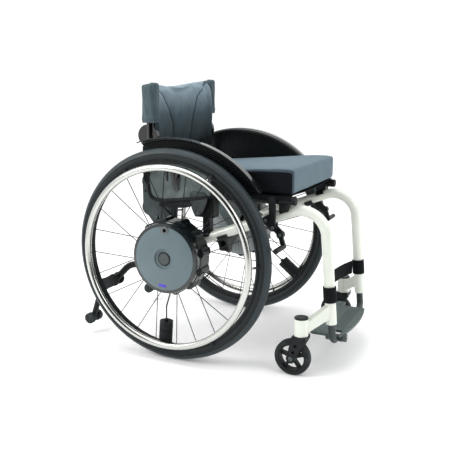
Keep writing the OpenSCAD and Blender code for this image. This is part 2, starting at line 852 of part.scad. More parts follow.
module brake_lever() color(slate) {
    top = [lever_x - lever_lean, lever_z + lever_l];
    tip = top - [0, lever_w / 2];
    wide = [lever_w / 2 * waist_share, 0];
    root = [lever_root_w / 2, 0];
    difference() {
        plate_xz(brake_y - lever_t - ear_gap, brake_y - ear_gap) {
            translate([lever_x, lever_z]) circle(r = brake_eye_r);
            translate(tip) circle(d = lever_w);
            polygon([[lever_x, lever_z] - root, [lever_x, lever_z] + root, tip + wide, tip - wide]);
        }
        along_y(lever_x, lever_z, brake_y, brake_y - 2 * lever_t, brake_pin_r + pin_gap);
    }
}

module brake_shoe() color(black_metal) {
    foot = [shoe_pivot_x + shoe_fore, shoe_pivot_z - shoe_drop];
    difference() {
        plate_xz(brake_y - lever_t - ear_gap, brake_y - ear_gap)
            link_2d([shoe_pivot_x, shoe_pivot_z], foot, brake_eye_r, shoe_arm_w / 2);
        along_y(shoe_pivot_x, shoe_pivot_z, brake_y, brake_y - 2 * lever_t, brake_pin_r + pin_gap);
    }
    along_y(foot[0], foot[1], brake_y - ear_gap - lever_t / 2, -track / 2 - tyre_w / 2, shoe_d / 2);
}

// Caster

module caster_fork() color(black_metal) {
    wheel_x = caster_x - caster_trail;
    crown_z = housing_low - rest_gap - crown_h;
    axle_h = caster_d / 2;
    inner = caster_w / 2 + blade_gap;
    outer = inner + blade_t / 2;
    translate([caster_x, -caster_half, crown_z]) cylinder(h = crown_h, r = crown_r);
    translate([caster_x, -caster_half, crown_z]) cylinder(h = housing_top - crown_z, r = stem_r);
    translate([caster_x - crown_r, -caster_half - inner - blade_t, crown_z])
        cube([2 * crown_r, 2 * (inner + blade_t), crown_h]);
    for (s = [-1, 1]) translate([0, -caster_half + s * outer, 0])
        plate_xz(-blade_t / 2, blade_t / 2) difference() {
            union() {
                polygon([[caster_x - crown_r, crown_z + crown_h], [caster_x + crown_r, crown_z + crown_h],
                    [caster_x + crown_r, crown_z], [wheel_x + blade_foot_r, axle_h],
                    [wheel_x - blade_foot_r, axle_h]]);
                translate([wheel_x, axle_h]) circle(r = blade_foot_r);
            }
            for (t = blade_hole_shares)
                translate([wheel_x + t * caster_trail, axle_h + t * (crown_z + crown_h - axle_h)])
                    circle(r = blade_hole_r);
        }
    along_y(wheel_x, axle_h, -caster_half - outer, -caster_half + outer, caster_axle_r);
}

module caster_frame() translate([caster_x - caster_trail, -caster_half, caster_d / 2])
    rotate([90, 0, 0]) children();

module caster_wheel() color(black_metal) caster_frame() {
    rim_out = caster_d / 2 - caster_tyre_h;
    hub_w = caster_w + 2 * blade_gap - 2 * ear_gap;
    difference() {
        union() {
            translate([0, 0, -hub_w / 2]) cylinder(h = hub_w, r = caster_hub_r);
            translate([0, 0, -caster_w / 2]) difference() {
                cylinder(h = caster_w, r = rim_out);
                translate([0, 0, -cut]) cylinder(h = caster_w + 2 * cut, r = rim_out - caster_rim_t);
            }
            for (i = [0:caster_spokes - 1]) rotate(90 + i * 360 / caster_spokes)
                translate([0, -caster_spoke_w / 2, -caster_w / 4])
                    cube([rim_out - caster_rim_t / 2, caster_spoke_w, caster_w / 2]);
        }
        translate([0, 0, -hub_w]) cylinder(h = 2 * hub_w, r = caster_axle_r + pin_gap);
    }
}

module caster_tyre() color(tyre_black) caster_frame() rotate_extrude() difference() {
    union() {
        translate([caster_d / 2 - caster_round, -caster_w / 2 + caster_round])
            square([caster_round, caster_w - 2 * caster_round]);
        for (s = [-1, 1]) translate([caster_d / 2 - caster_round, s * (caster_w / 2 - caster_round)])
            circle(r = caster_round);
        translate([caster_d / 2 - caster_tyre_h, -caster_w / 2])
            square([caster_tyre_h - caster_round, caster_w]);
    }
    translate([0, -caster_w]) square([caster_d / 2 - caster_tyre_h, 2 * caster_w]);
}

// Guard beside the wheel

module side_guard() color(carbon) wheel_frame(0) {
    plate_at = guard_half - track / 2;
    rear = guard_r * cos(guard_to_angle);
    round_x = guard_corner - guard_tail;
    round_z = guard_low + guard_corner;
    translate([0, 0, plate_at - guard_t / 2]) linear_extrude(guard_t) intersection() {
        circle(r = guard_r);
        polygon(concat([[guard_skirt, guard_low],
            [guard_r * cos(guard_from_angle), guard_r * sin(guard_from_angle)], [guard_r, guard_r],
            [rear, guard_r], [rear, guard_tail_h]],
            [for (i = [0:guard_corner_steps]) let (a = 180 + 90 * i / guard_corner_steps)
                [round_x + guard_corner * cos(a), round_z + guard_corner * sin(a)]]));
    }
    rotate(guard_from_angle + lip_trim)
        rotate_extrude(angle = guard_to_angle - guard_from_angle - 2 * lip_trim)
            guard_lip(plate_at);
}

// Section of the rolled lip: a quarter round, then a flat brim over the tyre
module guard_lip(plate_at) {
    intersection() {
        translate([guard_r, plate_at - guard_t / 2 + lip_bend]) difference() {
            circle(r = lip_bend);
            circle(r = lip_bend - guard_t);
        }
        translate([guard_r, plate_at - guard_t / 2]) square([lip_bend, lip_bend]);
    }
    translate([guard_r - lip_bend, plate_at - guard_t / 2]) square([lip_bend, guard_t]);
    translate([guard_r + lip_bend - guard_t, plate_at - guard_t / 2 + lip_bend])
        square([guard_t, lip_w - lip_bend]);
}

// Tip guard behind the wheel

module anti_tip_arm() color(black_metal) {
    knuckle = [tip_end[0], tip_end[2]];
    pivot = [tip_pivot_x, tip_pivot_z];
    inner = tip_leg_t / 2 + ear_gap;
    bent_rod(tip_from, tip_knee, tip_end, tip_tube_d / 2, tip_bend);
    for (s = [-1, 1]) translate([0, s * (inner + tip_plate_t / 2) - tip_half, 0])
        plate_xz(-tip_plate_t / 2, tip_plate_t / 2) link_2d(knuckle, pivot, tip_plate_r, tip_plate_r);
    across(knuckle, inner + tip_plate_t / 2, tip_tube_d / 2);
    across(pivot, tip_leg_t, tip_pivot_r);
    for (s = [-1, 1])
        along_y(pivot[0], pivot[1], s * (inner + tip_plate_t) - tip_half,
            s * (tip_leg_t + ear_gap) - tip_half, tip_washer_r);
}

// Cylinder across the tip guard at the point p, half being half its length
module across(p, half, r) along_y(p[0], p[1], -tip_half - half, half - tip_half, r);

module anti_tip_leg() color(black_metal) {
    foot = [roller_x, roller_z];
    pivot = [tip_pivot_x, tip_pivot_z];
    difference() {
        union() {
            across(pivot, tip_leg_t / 2, tip_plate_r - tip_leg_t / 4);
            rod([pivot[0], -tip_half, pivot[1]], [foot[0], -tip_half, foot[1]], tip_tube_d / 2 - ear_gap);
            across(foot, tip_leg_t / 2, tip_fork_r);
        }
        across(pivot, tip_leg_t, tip_pivot_r + pin_gap);
        across(foot, tip_leg_t, roller_axle_r + pin_gap);
    }
}

module anti_tip_rollers() color(tyre_black) {
    for (s = [-1, 1]) {
        from = -tip_half + s * (tip_leg_t / 2 + ear_gap);
        along_y(roller_x, roller_z, from, from + s * roller_w, roller_d / 2);
    }
    across([roller_x, roller_z], tip_leg_t, roller_axle_r);
}

// Folding cross: each bar turns on one side frame and carries the other side's seat rail

module cross_bar(x) {
    translate([x, -pivot_half, pivot_z]) rotate([bar_angle, 0, 0]) translate([-bar_t / 2, 0, -bar_w / 2])
        cube([bar_t, bar_l, bar_w]);
    along_x(x - bar_t / 2, x + bar_t / 2, -pivot_half, pivot_z, pivot_eye_r);
    along_x(rail_rear, rail_front, rail_half, rail_z, rail_r);
}

module cross_bar_a() color(black_metal) {
    difference() {
        cross_bar(bar_a_x);
        along_x(bar_a_x - bar_t, bar_a_x + bar_t, -pivot_half, pivot_z, pivot_r + pin_gap);
    }
    rear = bar_a_x - bar_t / 2 - cross_head_h;
    fore = bar_b_x + bar_t / 2 + ear_gap;
    along_x(rear, fore + cross_head_h, 0, cross_z, cross_pin_r);
    along_x(rear, bar_a_x, 0, cross_z, cross_head_r);
    along_x(fore, fore + cross_head_h, 0, cross_z, cross_head_r);
}

module cross_bar_b() color(black_metal) left() difference() {
    union() {
        cross_bar(bar_b_x);
        along_x(bar_b_x - bar_t / 2, bar_b_x + bar_t / 2, 0, cross_z, pivot_eye_r + ear_gap);
    }
    along_x(bar_b_x - bar_t, bar_b_x + bar_t, -pivot_half, pivot_z, pivot_r + pin_gap);
    along_x(bar_b_x - bar_t, bar_b_x + bar_t, 0, cross_z, cross_pin_r + pin_gap);
}

// Soft parts

// Cloth between the rails: a shallow sag with a hem round each rail
module seat_sling() color(slate) translate([rail_rear, 0, 0]) rotate([90, 0, 90]) difference() {
    l = rail_front - rail_rear - 2 * rail_cap;
    hem_r = rail_r + rest_gap + sling_hem;
    union() {
        linear_extrude(l) polygon(concat([for (i = [0:sling_steps]) sling_point(i / sling_steps, 0)],
            [for (i = [sling_steps:-1:0]) sling_point(i / sling_steps, sling_t)]));
        for (s = [-1, 1]) translate([s * rail_half, rail_z, 0]) intersection() {
            cylinder(h = l, r = hem_r);
            translate([s > 0 ? -sling_t : sling_t - 2 * hem_r, rest_gap, 0]) cube([2 * hem_r, hem_r, l]);
        }
    }
    for (s = [-1, 1]) translate([s * rail_half, rail_z, -cut])
        cylinder(h = l + 2 * cut, r = rail_r + rest_gap);
}

function sling_point(t, up) = [rail_half * (2 * t - 1), sling_z + up - sling_sag * (1 - pow(2 * t - 1, 2))];

function sign_pow(v, p) = sign(v) * pow(abs(v), p);

// One level of the cushion: a rounded rectangle drawn in by its share
function cushion_ring(level) = [for (i = [0:cushion_ring_n - 1]) let (a = (i + 0.5) * 360 / cushion_ring_n)
    [cushion_mid + cushion_l / 2 * level[1] * sign_pow(cos(a), cushion_corner_share),
    cushion_w / 2 * level[1] * sign_pow(sin(a), cushion_corner_share), cushion_low + cushion_h * level[0]]];

module cushion() color(slate) {
    n = cushion_ring_n;
    m = len(cushion_level_shares);
    points = concat([for (l = cushion_level_shares) each cushion_ring(l)],
        [[cushion_mid, 0, cushion_low], [cushion_mid, 0, cushion_low + cushion_h]]);
    faces = concat(
        [for (j = [0:m - 2], i = [0:n - 1]) each let (a = j * n + i, b = j * n + (i + 1) % n)
            [[a, b + n, b], [a, a + n, b + n]]],
        [for (i = [0:n - 1]) [n * m, i, (i + 1) % n]],
        [for (i = [0:n - 1]) [n * m + 1, (m - 1) * n + (i + 1) % n, (m - 1) * n + i]]);
    polyhedron(points, faces);
}

// Back cloth: u runs across from right to left, v upwards, and face is 1 in front and 0 behind
function pleat(u) = pleat_depth * (exp(-pow((u - pleat_shares[0]) / pleat_width_share, 2))
    + exp(-pow((u - pleat_shares[1]) / pleat_width_share, 2)));

function back_point(u, v, face) = let (bow = 1 - pow(2 * u - 1, 2), puff = pow(sin(180 * v), 0.5),
    t = back_edge_t + (back_t - back_edge_t) * pow(bow, 0.5) * puff,
    top = back_top - back_dip * bow)
    [post_x - back_sag * bow + (face - 0.5) * t - face * pleat(u) * puff * pow(bow, 0.5),
    back_half * (2 * u - 1), back_low + (top - back_low) * v];

module back_panel() {
    c = back_cols;
    r = back_rows;
    n = c + 1;
    sheet = n * (r + 1);
    points = [for (f = [0, 1], j = [0:r], i = [0:c]) back_point(i / c, j / r, f)];
    quads = [for (j = [0:r - 1], i = [0:c - 1]) let (k = j * n + i) [k, k + 1, k + n + 1, k + n]];
    edge = concat([for (i = [0:c - 1]) [i, i + 1]], [for (j = [0:r - 1]) [j * n + c, (j + 1) * n + c]],
        [for (i = [c:-1:1]) [r * n + i, r * n + i - 1]], [for (j = [r:-1:1]) [j * n, (j - 1) * n]]);
    polyhedron(points, concat(
        [for (q = quads) each [[q[0], q[1], q[2]], [q[0], q[2], q[3]]]],
        [for (q = quads) let (p = q + [sheet, sheet, sheet, sheet])
            each [[p[0], p[2], p[1]], [p[0], p[3], p[2]]]],
        [for (e = edge) each [[e[0], e[0] + sheet, e[1]], [e[1], e[0] + sheet, e[1] + sheet]]]));
}

module back_upholstery() color(slate) difference() {
    union() {
        back_panel();
        for (s = [-1, 1]) translate([post_x, s * post_half, back_top - back_dip - sleeve_drop])
            cylinder(h = sleeve_drop + back_dip / 2, r = post_r + rest_gap + sleeve_t);
    }
    for (s = [-1, 1]) translate([post_x, s * post_half, post_low])
        cylinder(h = back_top - back_dip - post_low + rest_gap, r = post_r + rest_gap);
}

// Strap behind the shins, wrapped round both front tubes
module calf_strap() color(black_metal) {
    low = front_at(strap_z - strap_h / 2);
    high = front_at(strap_z + strap_h / 2);
    wrap_r = tube_r + rest_gap;
    over = unit(high - low) * tube_r / 2;
    difference() {
        union() {
            for (y = [0, 2 * front_half]) translate([0, y, 0]) rod(low, high, wrap_r + strap_t);
            translate([low[0] - wrap_r, 0, low[2]]) linear_extrude(strap_h)
                polygon(concat([for (i = [strap_steps:-1:0]) strap_point(i / strap_steps, strap_t)],
                    [for (i = [0:strap_steps]) strap_point(i / strap_steps, 0)]));
        }
        for (y = [0, 2 * front_half]) translate([0, y, 0]) rod(low - over, high + over, wrap_r);
    }
}

function strap_point(t, out) = [-out - strap_sag * (1 - pow(2 * t - 1, 2)), front_half * (2 * t - 1)];

// Footplate, hinged on the right hanger and resting on the left one

module footplate_2d() {
    half = plate_w / 2;
    rear = plate_rear_x;
    straight = plate_l - plate_bow;
    bow_r = (half * half + plate_bow * plate_bow) / (2 * plate_bow);
    union() {
        translate([rear + plate_corner_r, -half]) square([straight - plate_corner_r, plate_w]);
        translate([rear, plate_corner_r - half])
            square([2 * plate_corner_r, plate_w - 2 * plate_corner_r]);
        for (s = [-1, 1]) translate([rear + plate_corner_r, s * (half - plate_corner_r)])
            circle(r = plate_corner_r);
        intersection() {
            translate([rear + plate_l - bow_r, 0]) circle(r = bow_r);
            translate([rear + straight - cut, -half]) square([plate_bow + 2 * cut, plate_w]);
        }
    }
}

module footplate() color(dark_grey) {
    hinge_x = front_at(barrel_z)[0];
    low = plate_z - plate_t;
    rib_x = plate_rear_x + plate_l - plate_bow;
    barrel_notch = barrel_inset + barrel_r + notch_room;
    difference() {
        union() {
            translate([0, 0, low]) linear_extrude(plate_t) footplate_2d();
            for (s = [-1, 1]) {
                ear = hinge_x + s * (barrel_l / 2 + ear_gap + hinge_ear_t / 2);
                along_x(ear - hinge_ear_t / 2, ear + hinge_ear_t / 2, -barrel_half, barrel_z, hinge_ear_r);
                translate([ear - hinge_ear_t / 2, -barrel_half - hinge_ear_r, barrel_z])
                    cube([hinge_ear_t, 2 * hinge_ear_r, low - barrel_z + cut]);
            }
            for (i = [1:rib_count]) translate([rib_x - i * rib_pitch, rib_inset - plate_w / 2, plate_z - cut])
                    cube([rib_w, plate_w - 2 * rib_inset, rib_h + cut]);
        }
        translate([hinge_x - notch_rear, plate_w / 2 - notch_d, low - cut])
            cube([notch_rear + notch_fore, notch_d + cut, plate_t + 2 * cut]);
        translate([hinge_x - hanger_r - notch_room, -plate_w / 2 - cut, low - cut])
            cube([2 * (hanger_r + notch_room), barrel_notch + cut, plate_t + 2 * cut]);
        along_x(hinge_x - barrel_l, hinge_x + barrel_l, -barrel_half, barrel_z, hinge_pin_r + pin_gap);
    }
}

tyre(0);  // right_tyre
rim(0);  // right_rim
spokes(0);  // right_spokes
handrim(0);  // right_handrim
hub_shell(0);  // right_hub_shell
hub_cover(0);  // right_hub_cover
release_button();  // right_release_button
charge_socket(0);  // right_charge_socket
status_light(0);  // right_status_light
rim_sensor(0);  // right_rim_sensor
battery_pack(0);  // right_battery_pack
motor_axle();  // right_motor_axle
side_frame();  // right_side_frame
axle_bracket();  // right_axle_bracket
back_post();  // right_back_post
side_guard();  // right_side_guard
frame_clamps(bar_a_x);  // right_frame_clamps
brake_lever();  // right_brake_lever
brake_shoe();  // right_brake_shoe
caster_fork();  // right_caster_fork
caster_wheel();  // right_caster_wheel
caster_tyre();  // right_caster_tyre
hanger(true);  // right_hanger
anti_tip_arm();  // right_anti_tip_arm
anti_tip_leg();  // right_anti_tip_leg
anti_tip_rollers();  // right_anti_tip_rollers
left() tyre(left_angle);  // left_tyre
left() rim(left_angle);  // left_rim
left() spokes(left_angle);  // left_spokes
left() handrim(left_angle);  // left_handrim
left() hub_shell(left_angle);  // left_hub_shell
left() hub_cover(left_angle);  // left_hub_cover
left() release_button();  // left_release_button
left() charge_socket(left_angle);  // left_charge_socket
left() status_light(left_angle);  // left_status_light
left() rim_sensor(left_angle);  // left_rim_sensor
left() battery_pack(left_angle);  // left_battery_pack
left() motor_axle();  // left_motor_axle
left() side_frame();  // left_side_frame
left() axle_bracket();  // left_axle_bracket
left() back_post();  // left_back_post
left() side_guard();  // left_side_guard
left() frame_clamps(bar_b_x);  // left_frame_clamps
left() brake_lever();  // left_brake_lever
left() brake_shoe();  // left_brake_shoe
left() caster_fork();  // left_caster_fork
left() caster_wheel();  // left_caster_wheel
left() caster_tyre();  // left_caster_tyre
left() hanger(false);  // left_hanger
left() anti_tip_arm();  // left_anti_tip_arm
left() anti_tip_leg();  // left_anti_tip_leg
left() anti_tip_rollers();  // left_anti_tip_rollers
cross_bar_a();
cross_bar_b();
seat_sling();
cushion();
back_upholstery();
calf_strap();
footplate();
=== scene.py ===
# %% [markdown]
# # A folding wheelchair with power-assist wheels
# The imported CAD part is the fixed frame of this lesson. Its rigid pieces stay as they are and get finishes here.
# The soft pieces, which CAD can only block out, are made as surfaces and stand in for their solids.

# %% Load the frame
import math

import bpy
import numpy as np
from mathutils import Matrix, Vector


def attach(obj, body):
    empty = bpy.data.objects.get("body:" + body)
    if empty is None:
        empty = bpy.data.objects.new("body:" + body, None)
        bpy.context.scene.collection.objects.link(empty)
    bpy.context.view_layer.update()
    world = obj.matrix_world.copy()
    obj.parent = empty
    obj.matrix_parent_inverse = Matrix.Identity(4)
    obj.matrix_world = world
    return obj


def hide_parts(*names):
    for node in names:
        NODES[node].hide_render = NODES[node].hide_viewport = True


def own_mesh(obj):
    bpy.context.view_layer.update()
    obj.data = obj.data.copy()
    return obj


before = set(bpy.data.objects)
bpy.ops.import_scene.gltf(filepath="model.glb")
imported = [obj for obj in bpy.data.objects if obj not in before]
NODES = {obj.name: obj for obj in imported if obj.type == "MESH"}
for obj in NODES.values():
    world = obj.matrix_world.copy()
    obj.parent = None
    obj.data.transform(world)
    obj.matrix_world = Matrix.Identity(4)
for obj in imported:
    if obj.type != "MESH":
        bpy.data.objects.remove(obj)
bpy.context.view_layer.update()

SIDES = {"right": -1.0, "left": 1.0}

# %% [markdown]
# ## The view
# The camera stands where the photograph was taken: its angle, distance and lens were fitted to the wheels, the
# casters and the seat.

# %% Camera
AZIMUTH, ELEVATION = math.radians(24.8), math.radians(11.79)
TARGET = Vector((-0.0141, 0.0, 0.34795))
DISTANCE = 2.0774
LENS = 664.03 / 452 * 36
BACK = Vector((math.sin(AZIMUTH) * math.cos(ELEVATION), -math.cos(AZIMUTH) * math.cos(ELEVATION),
               math.sin(ELEVATION)))

scene = bpy.context.scene
camera = bpy.data.objects.new("studio_camera", bpy.data.cameras.new("studio_camera"))
scene.collection.objects.link(camera)
camera.data.sensor_width = 36
camera.data.lens = LENS
camera.location = TARGET + BACK * DISTANCE
camera.rotation_mode = "QUATERNION"
camera.rotation_quaternion = (-BACK).to_track_quat("-Z", "Y")
camera.data.clip_start, camera.data.clip_end = 0.05, 60
scene.camera = camera
print("camera at", [round(v, 3) for v in camera.location], "lens", round(LENS, 1), "mm")

# %% [markdown]
# ## Meshes from arrays
# Each new piece is a grid of points worked out by numpy. One function turns such a grid into a mesh, joins its
# edges where the surface closes on itself, and fills open ends with a fan where a closed form is wanted.

# %% Grid to mesh
def grid(x, y, z):
    """Points (rows, columns, 3) from three coordinates, each spread over the rows and columns it lacks."""
    return np.stack(np.broadcast_arrays(x, y, z), axis=-1)


def grid_faces(rows, columns, wrap_rows, wrap_columns):
    """Quads between neighbouring rows and columns; a wrapped direction joins its last line to its first."""
    i = np.arange(rows if wrap_rows else rows - 1)
    j = np.arange(columns if wrap_columns else columns - 1)
    i, j = (a.ravel() for a in np.meshgrid(i, j, indexing="ij"))
    i1, j1 = (i + 1) % rows, (j + 1) % columns
    return np.stack([i * columns + j, i1 * columns + j, i1 * columns + j1, i * columns + j1], axis=1)


def make_mesh(name, points, faces, sharp=None):
    """Mesh object at the origin, smooth shaded, with edges above the sharp angle (degrees) kept crisp."""
    mesh = bpy.data.meshes.new(name)
    mesh.from_pydata(points.reshape(-1, 3).tolist(), [], [list(map(int, f)) for f in faces])
    mesh.polygons.foreach_set("use_smooth", np.ones(len(mesh.polygons), bool))
    if sharp is not None:
        mesh.set_sharp_from_angle(angle=math.radians(sharp))
    mesh.update()
    piece = bpy.data.objects.new(name, mesh)
    scene.collection.objects.link(piece)
    return piece


def surface(name, points, wrap_rows=False, wrap_columns=False, caps=False, sharp=None):
    """Mesh of a points grid (rows, columns, 3); caps closes the first and last row with one face each."""
    rows, columns = points.shape[:2]
    faces = grid_faces(rows, columns, wrap_rows, wrap_columns).tolist()
    if caps:
        faces += [list(range(columns)), [(rows - 1) * columns + k for k in range(columns)][::-1]]
    return make_mesh(name, points, faces, sharp)


def closed(name, points, sharp=None):
    """Closed body: the columns go round, and both ends are filled."""
    return surface(name, points, wrap_columns=True, caps=True, sharp=sharp)


print("grid to mesh ready")

# %% [markdown]
# ## Shader maths as Python
# A finish is easier to read as a formula than as a web of nodes. A Wire holds one shader socket, and the usual
# operators on it add Math nodes. Any other node comes from its node method.

# %% Wire
class Wire:
    """One shader socket in a node tree; operators on it add Math nodes."""

    def __init__(self, tree, socket=None):
        self.tree, self.socket = tree, socket

    def node(self, kind, settings=None, sockets=None, out=0):
        """Adds a node: its settings first, then a value or a link for each named or numbered socket."""
        made = self.tree.nodes.new(kind)
        for key, value in (settings or {}).items():
            if key == "stops":
                ramp = made.color_ramp.elements
                while len(ramp) < len(value):
                    ramp.new(1.0)
                for stop, (at, colour) in zip(ramp, value):
                    stop.position, stop.color = at, (*colour, 1.0)
            else:
                setattr(made, key, value)
        for key, value in (sockets or {}).items():
            if isinstance(value, Wire):
                self.tree.links.new(value.socket, made.inputs[key])
            else:
                made.inputs[key].default_value = value
        return Wire(self.tree, made.outputs[out])

    def math(self, operation, *values):
        return self.node("ShaderNodeMath", {"operation": operation}, dict(enumerate(values)))

    def __add__(self, other):
        return self.math("ADD", self, other)

    def __radd__(self, other):
        return self.math("ADD", other, self)

    def __sub__(self, other):
        return self.math("SUBTRACT", self, other)

    def __rsub__(self, other):
        return self.math("SUBTRACT", other, self)

    def __mul__(self, other):
        return self.math("MULTIPLY", self, other)

    def __rmul__(self, other):
        return self.math("MULTIPLY", other, self)

    def __truediv__(self, other):
        return self.math("DIVIDE", self, other)

    def __pow__(self, other):
        return self.math("POWER", self, other)

    def sin(self):
        return self.math("SINE", self)

    def abs(self):
        return self.math("ABSOLUTE", self)

    def over(self, edge, width):
        """0 below the edge and 1 above it, with a ramp of that width."""
        return self.node("ShaderNodeMapRange", {"interpolation_type": "SMOOTHSTEP"},
                         {0: self, 1: edge - width / 2, 2: edge + width / 2})

    def axes(self):
        """The three numbers of a vector."""
        return [self.node("ShaderNodeSeparateXYZ", None, {0: self}, out=k) for k in range(3)]

    def noise(self, scale, detail=3.0, rough=0.55):
        """Soft grain from 0 to 1 at that scale, read at this place."""
        return self.node("ShaderNodeTexNoise", None,
                         {"Vector": self, "Scale": scale, "Detail": detail, "Roughness": rough})

    def stretched(self, x, y, z):
        """This place with each axis scaled, for grain that runs one way."""
        return self.node("ShaderNodeMapping", None, {"Vector": self, "Scale": (x, y, z)})

    def mix(self, low, high):
        """Colour from low to high by this value."""
        return self.node("ShaderNodeMix", {"data_type": "RGBA"}, {0: self, 6: low, 7: high}, out=2)

    def bump(self, distance, strength=1.0):
        """Normal from this height in metres."""
        return self.node("ShaderNodeBump", None, {"Height": self, "Distance": distance, "Strength": strength})


def colour(red, green, blue):
    """Linear colour from the 0 to 255 values that a picture shows."""
    part = np.array([red, green, blue]) / 255
    linear = np.where(part <= 0.04045, part / 12.92, ((part + 0.055) / 1.055) ** 2.4)
    return (*map(float, linear), 1.0)


def finish(name, paint, **fixed):
    """New material: paint(place) gives what changes over the surface, and fixed the values that don't."""
    made = bpy.data.materials.new(name)
    made.use_nodes = True
    tree = made.node_tree
    shader = tree.nodes["Principled BSDF"]
    for key, value in fixed.items():
        shader.inputs[key.replace("_", " ")].default_value = value
    place = Wire(tree).node("ShaderNodeTexCoord", out=3)
    for key, wire in paint(place).items():
        tree.links.new(wire.socket, shader.inputs[key])
    return made


def dress(material, *names):
    """Gives the material to CAD nodes by name; a bare name stands for its right and left node."""
    for name in names:
        for node in ([name] if name in NODES else [f"{side}_{name}" for side in SIDES]):
            NODES[node].data.materials.clear()
            NODES[node].data.materials.append(material)


print("shader tools ready")

# %% [markdown]
# ## The studio
# A large pale plane carries the chair under an even white sky, and three soft boxes give the shapes their shading.
# In a white room every black part mirrors white and looks grey. So a dark card stands behind the camera, as it would
# in a product studio: faces that look at the camera grow darker than those that look up. The card itself isn't seen.
# The floor glows a little, which keeps the shadow on it pale.

# %% Floor, sky and lights
FLOOR_HALF = 14.0
WHITE = (1.0, 1.0, 1.0, 1.0)
corners = np.array([[-1, -1, 0], [1, -1, 0], [1, 1, 0], [-1, 1, 0]], float) * FLOOR_HALF
floor = make_mesh("studio_floor", corners, [[0, 1, 2, 3]])


def floor_paint(place):
    """Even pale grey-white with a faint cloud in it."""
    return {"Base Color": place.noise(0.7).mix(colour(252, 252, 252), colour(255, 255, 255))}


floor.data.materials.append(finish("studio_floor_paint", floor_paint, Roughness=0.9, Emission_Color=WHITE,
                                   Emission_Strength=0.08))

world = bpy.data.worlds.new("studio_sky")
world.use_nodes = True
world.node_tree.nodes["Background"].inputs[0].default_value = WHITE
world.node_tree.nodes["Background"].inputs[1].default_value = 1.06
scene.world = world
scene.view_settings.view_transform = "Standard"


def soft_box(name, place, aim, size, power):
    """Square area light of that size in metres, aimed at a point."""
    lamp = bpy.data.lights.new(name, "AREA")
    lamp.size, lamp.energy = size, power
    box = bpy.data.objects.new(name, lamp)
    scene.collection.objects.link(box)
    box.location = place
    box.rotation_mode = "QUATERNION"
    box.rotation_quaternion = (Vector(aim) - Vector(place)).to_track_quat("-Z", "Y")
    return box


MIDDLE = (0.0, 0.0, 0.4)
soft_box("front_box", (2.6, -0.9, 1.9), MIDDLE, 1.6, 22)
soft_box("left_box", (-1.1, -1.3, 1.35), MIDDLE, 0.7, 15)
soft_box("top_box", (-0.3, -0.2, 3.0), MIDDLE, 2.0, 30)


def card_corners(away, half_width, height):
    """Upright rectangle that faces the chair: a point at that distance on the camera's line, plus or minus the side."""
    line = np.array([BACK.x, BACK.y, 0]) / math.hypot(BACK.x, BACK.y)
    side = np.array([-line[1], line[0], 0]) * half_width
    up = np.array([0, 0, height])
    return np.array([line * away - side, line * away + side, line * away + side + up, line * away - side + up])


def card_paint(place):
    """Dull dark felt."""
    return {"Base Color": place.noise(3.0).mix(colour(18, 20, 21), colour(24, 26, 27))}


card = make_mesh("studio_card", card_corners(2.7, 3.0, 3.0), [[0, 1, 2, 3]])
card.visible_camera = False
card.data.materials.append(finish("studio_card_felt", card_paint, Roughness=1.0, Specular_IOR_Level=0.0))
print("studio ready")

# %% [markdown]
# ## Finishes of the rigid pieces
# The frame tubes are white gloss paint over aluminium. A faint orange-peel waviness and a trace of grime keep the
# paint from looking like plain plastic.

# %% White paint
def white_paint(place):
    """Paint waviness from noise, and a slightly greyer tone in soft patches and near the floor."""
    patch = place.noise(9.0, 4.0)
    low = 1.0 - place.axes()[2].over(0.16, 0.14)
    tone = (patch * 0.35 + low * 0.25).mix(colour(240, 245, 234), colour(222, 227, 216))
    return {"Base Color": tone,
            "Roughness": 0.16 + 0.14 * place.noise(60.0),
            "Normal": place.noise(230.0, 1.0).bump(0.0003, 0.12)}


dress(finish("frame_white_gloss", white_paint, Coat_Weight=0.6, Coat_Roughness=0.08), "side_frame")
print("frame painted")

# %% [markdown]
# Black painted and moulded parts share one recipe: a near-black tone, a fine grain, and rubbed lighter patches.
# Only the tone, the gloss and the grain size change from part to part.

# %% Black and grey parts
def moulded(tone, worn, rough, grain, depth):
    """Paint function: tone turns towards worn in rubbed patches; grain is the bump's scale, depth its metres."""
    def paint(place):
        patch = place.noise(26.0, 5.0, 0.6)
        rub = patch.over(0.62, 0.3)
        return {"Base Color": rub.mix(tone, worn),
                "Roughness": rough - 0.12 * rub + 0.1 * place.noise(grain / 5),
                "Normal": place.noise(grain, 2.0).bump(depth, 0.35)}
    return paint


INK, INK_WORN = colour(14, 19, 21), colour(28, 36, 39)
satin_black = finish("black_satin_paint", moulded(INK, INK_WORN, 0.42, 900.0, 0.0003), Specular_IOR_Level=0.25)
gloss_black = finish("black_gloss_paint", moulded(colour(6, 8, 9), colour(14, 17, 18), 0.14, 500.0, 0.0001),
                     Coat_Weight=0.5)
grain_black = finish("black_moulding", moulded(colour(16, 21, 23), colour(28, 35, 38), 0.5, 1300.0, 0.0005),
                     Specular_IOR_Level=0.25)
dark_grey = finish("dark_grey_paint", moulded(colour(56, 69, 71), colour(76, 91, 93), 0.4, 900.0, 0.0003))
hanger_grey = finish("hanger_grey_paint", moulded(colour(44, 53, 54), colour(70, 80, 80), 0.36, 800.0, 0.0003))
slate_grip = finish("slate_grip", moulded(colour(14, 20, 22), colour(28, 36, 39), 0.5, 1100.0, 0.0006),
                    Specular_IOR_Level=0.25)
dress(satin_black, "rim", "spokes", "frame_clamps", "brake_shoe", "caster_fork", "anti_tip_arm", "anti_tip_leg",
      "cross_bar_a", "cross_bar_b")
dress(gloss_black, "back_post")
dress(grain_black, "rim_sensor", "caster_wheel", "battery_pack")
dress(dark_grey, "axle_bracket")
dress(hanger_grey, "hanger")
dress(slate_grip, "brake_lever")
print("black and grey parts finished")
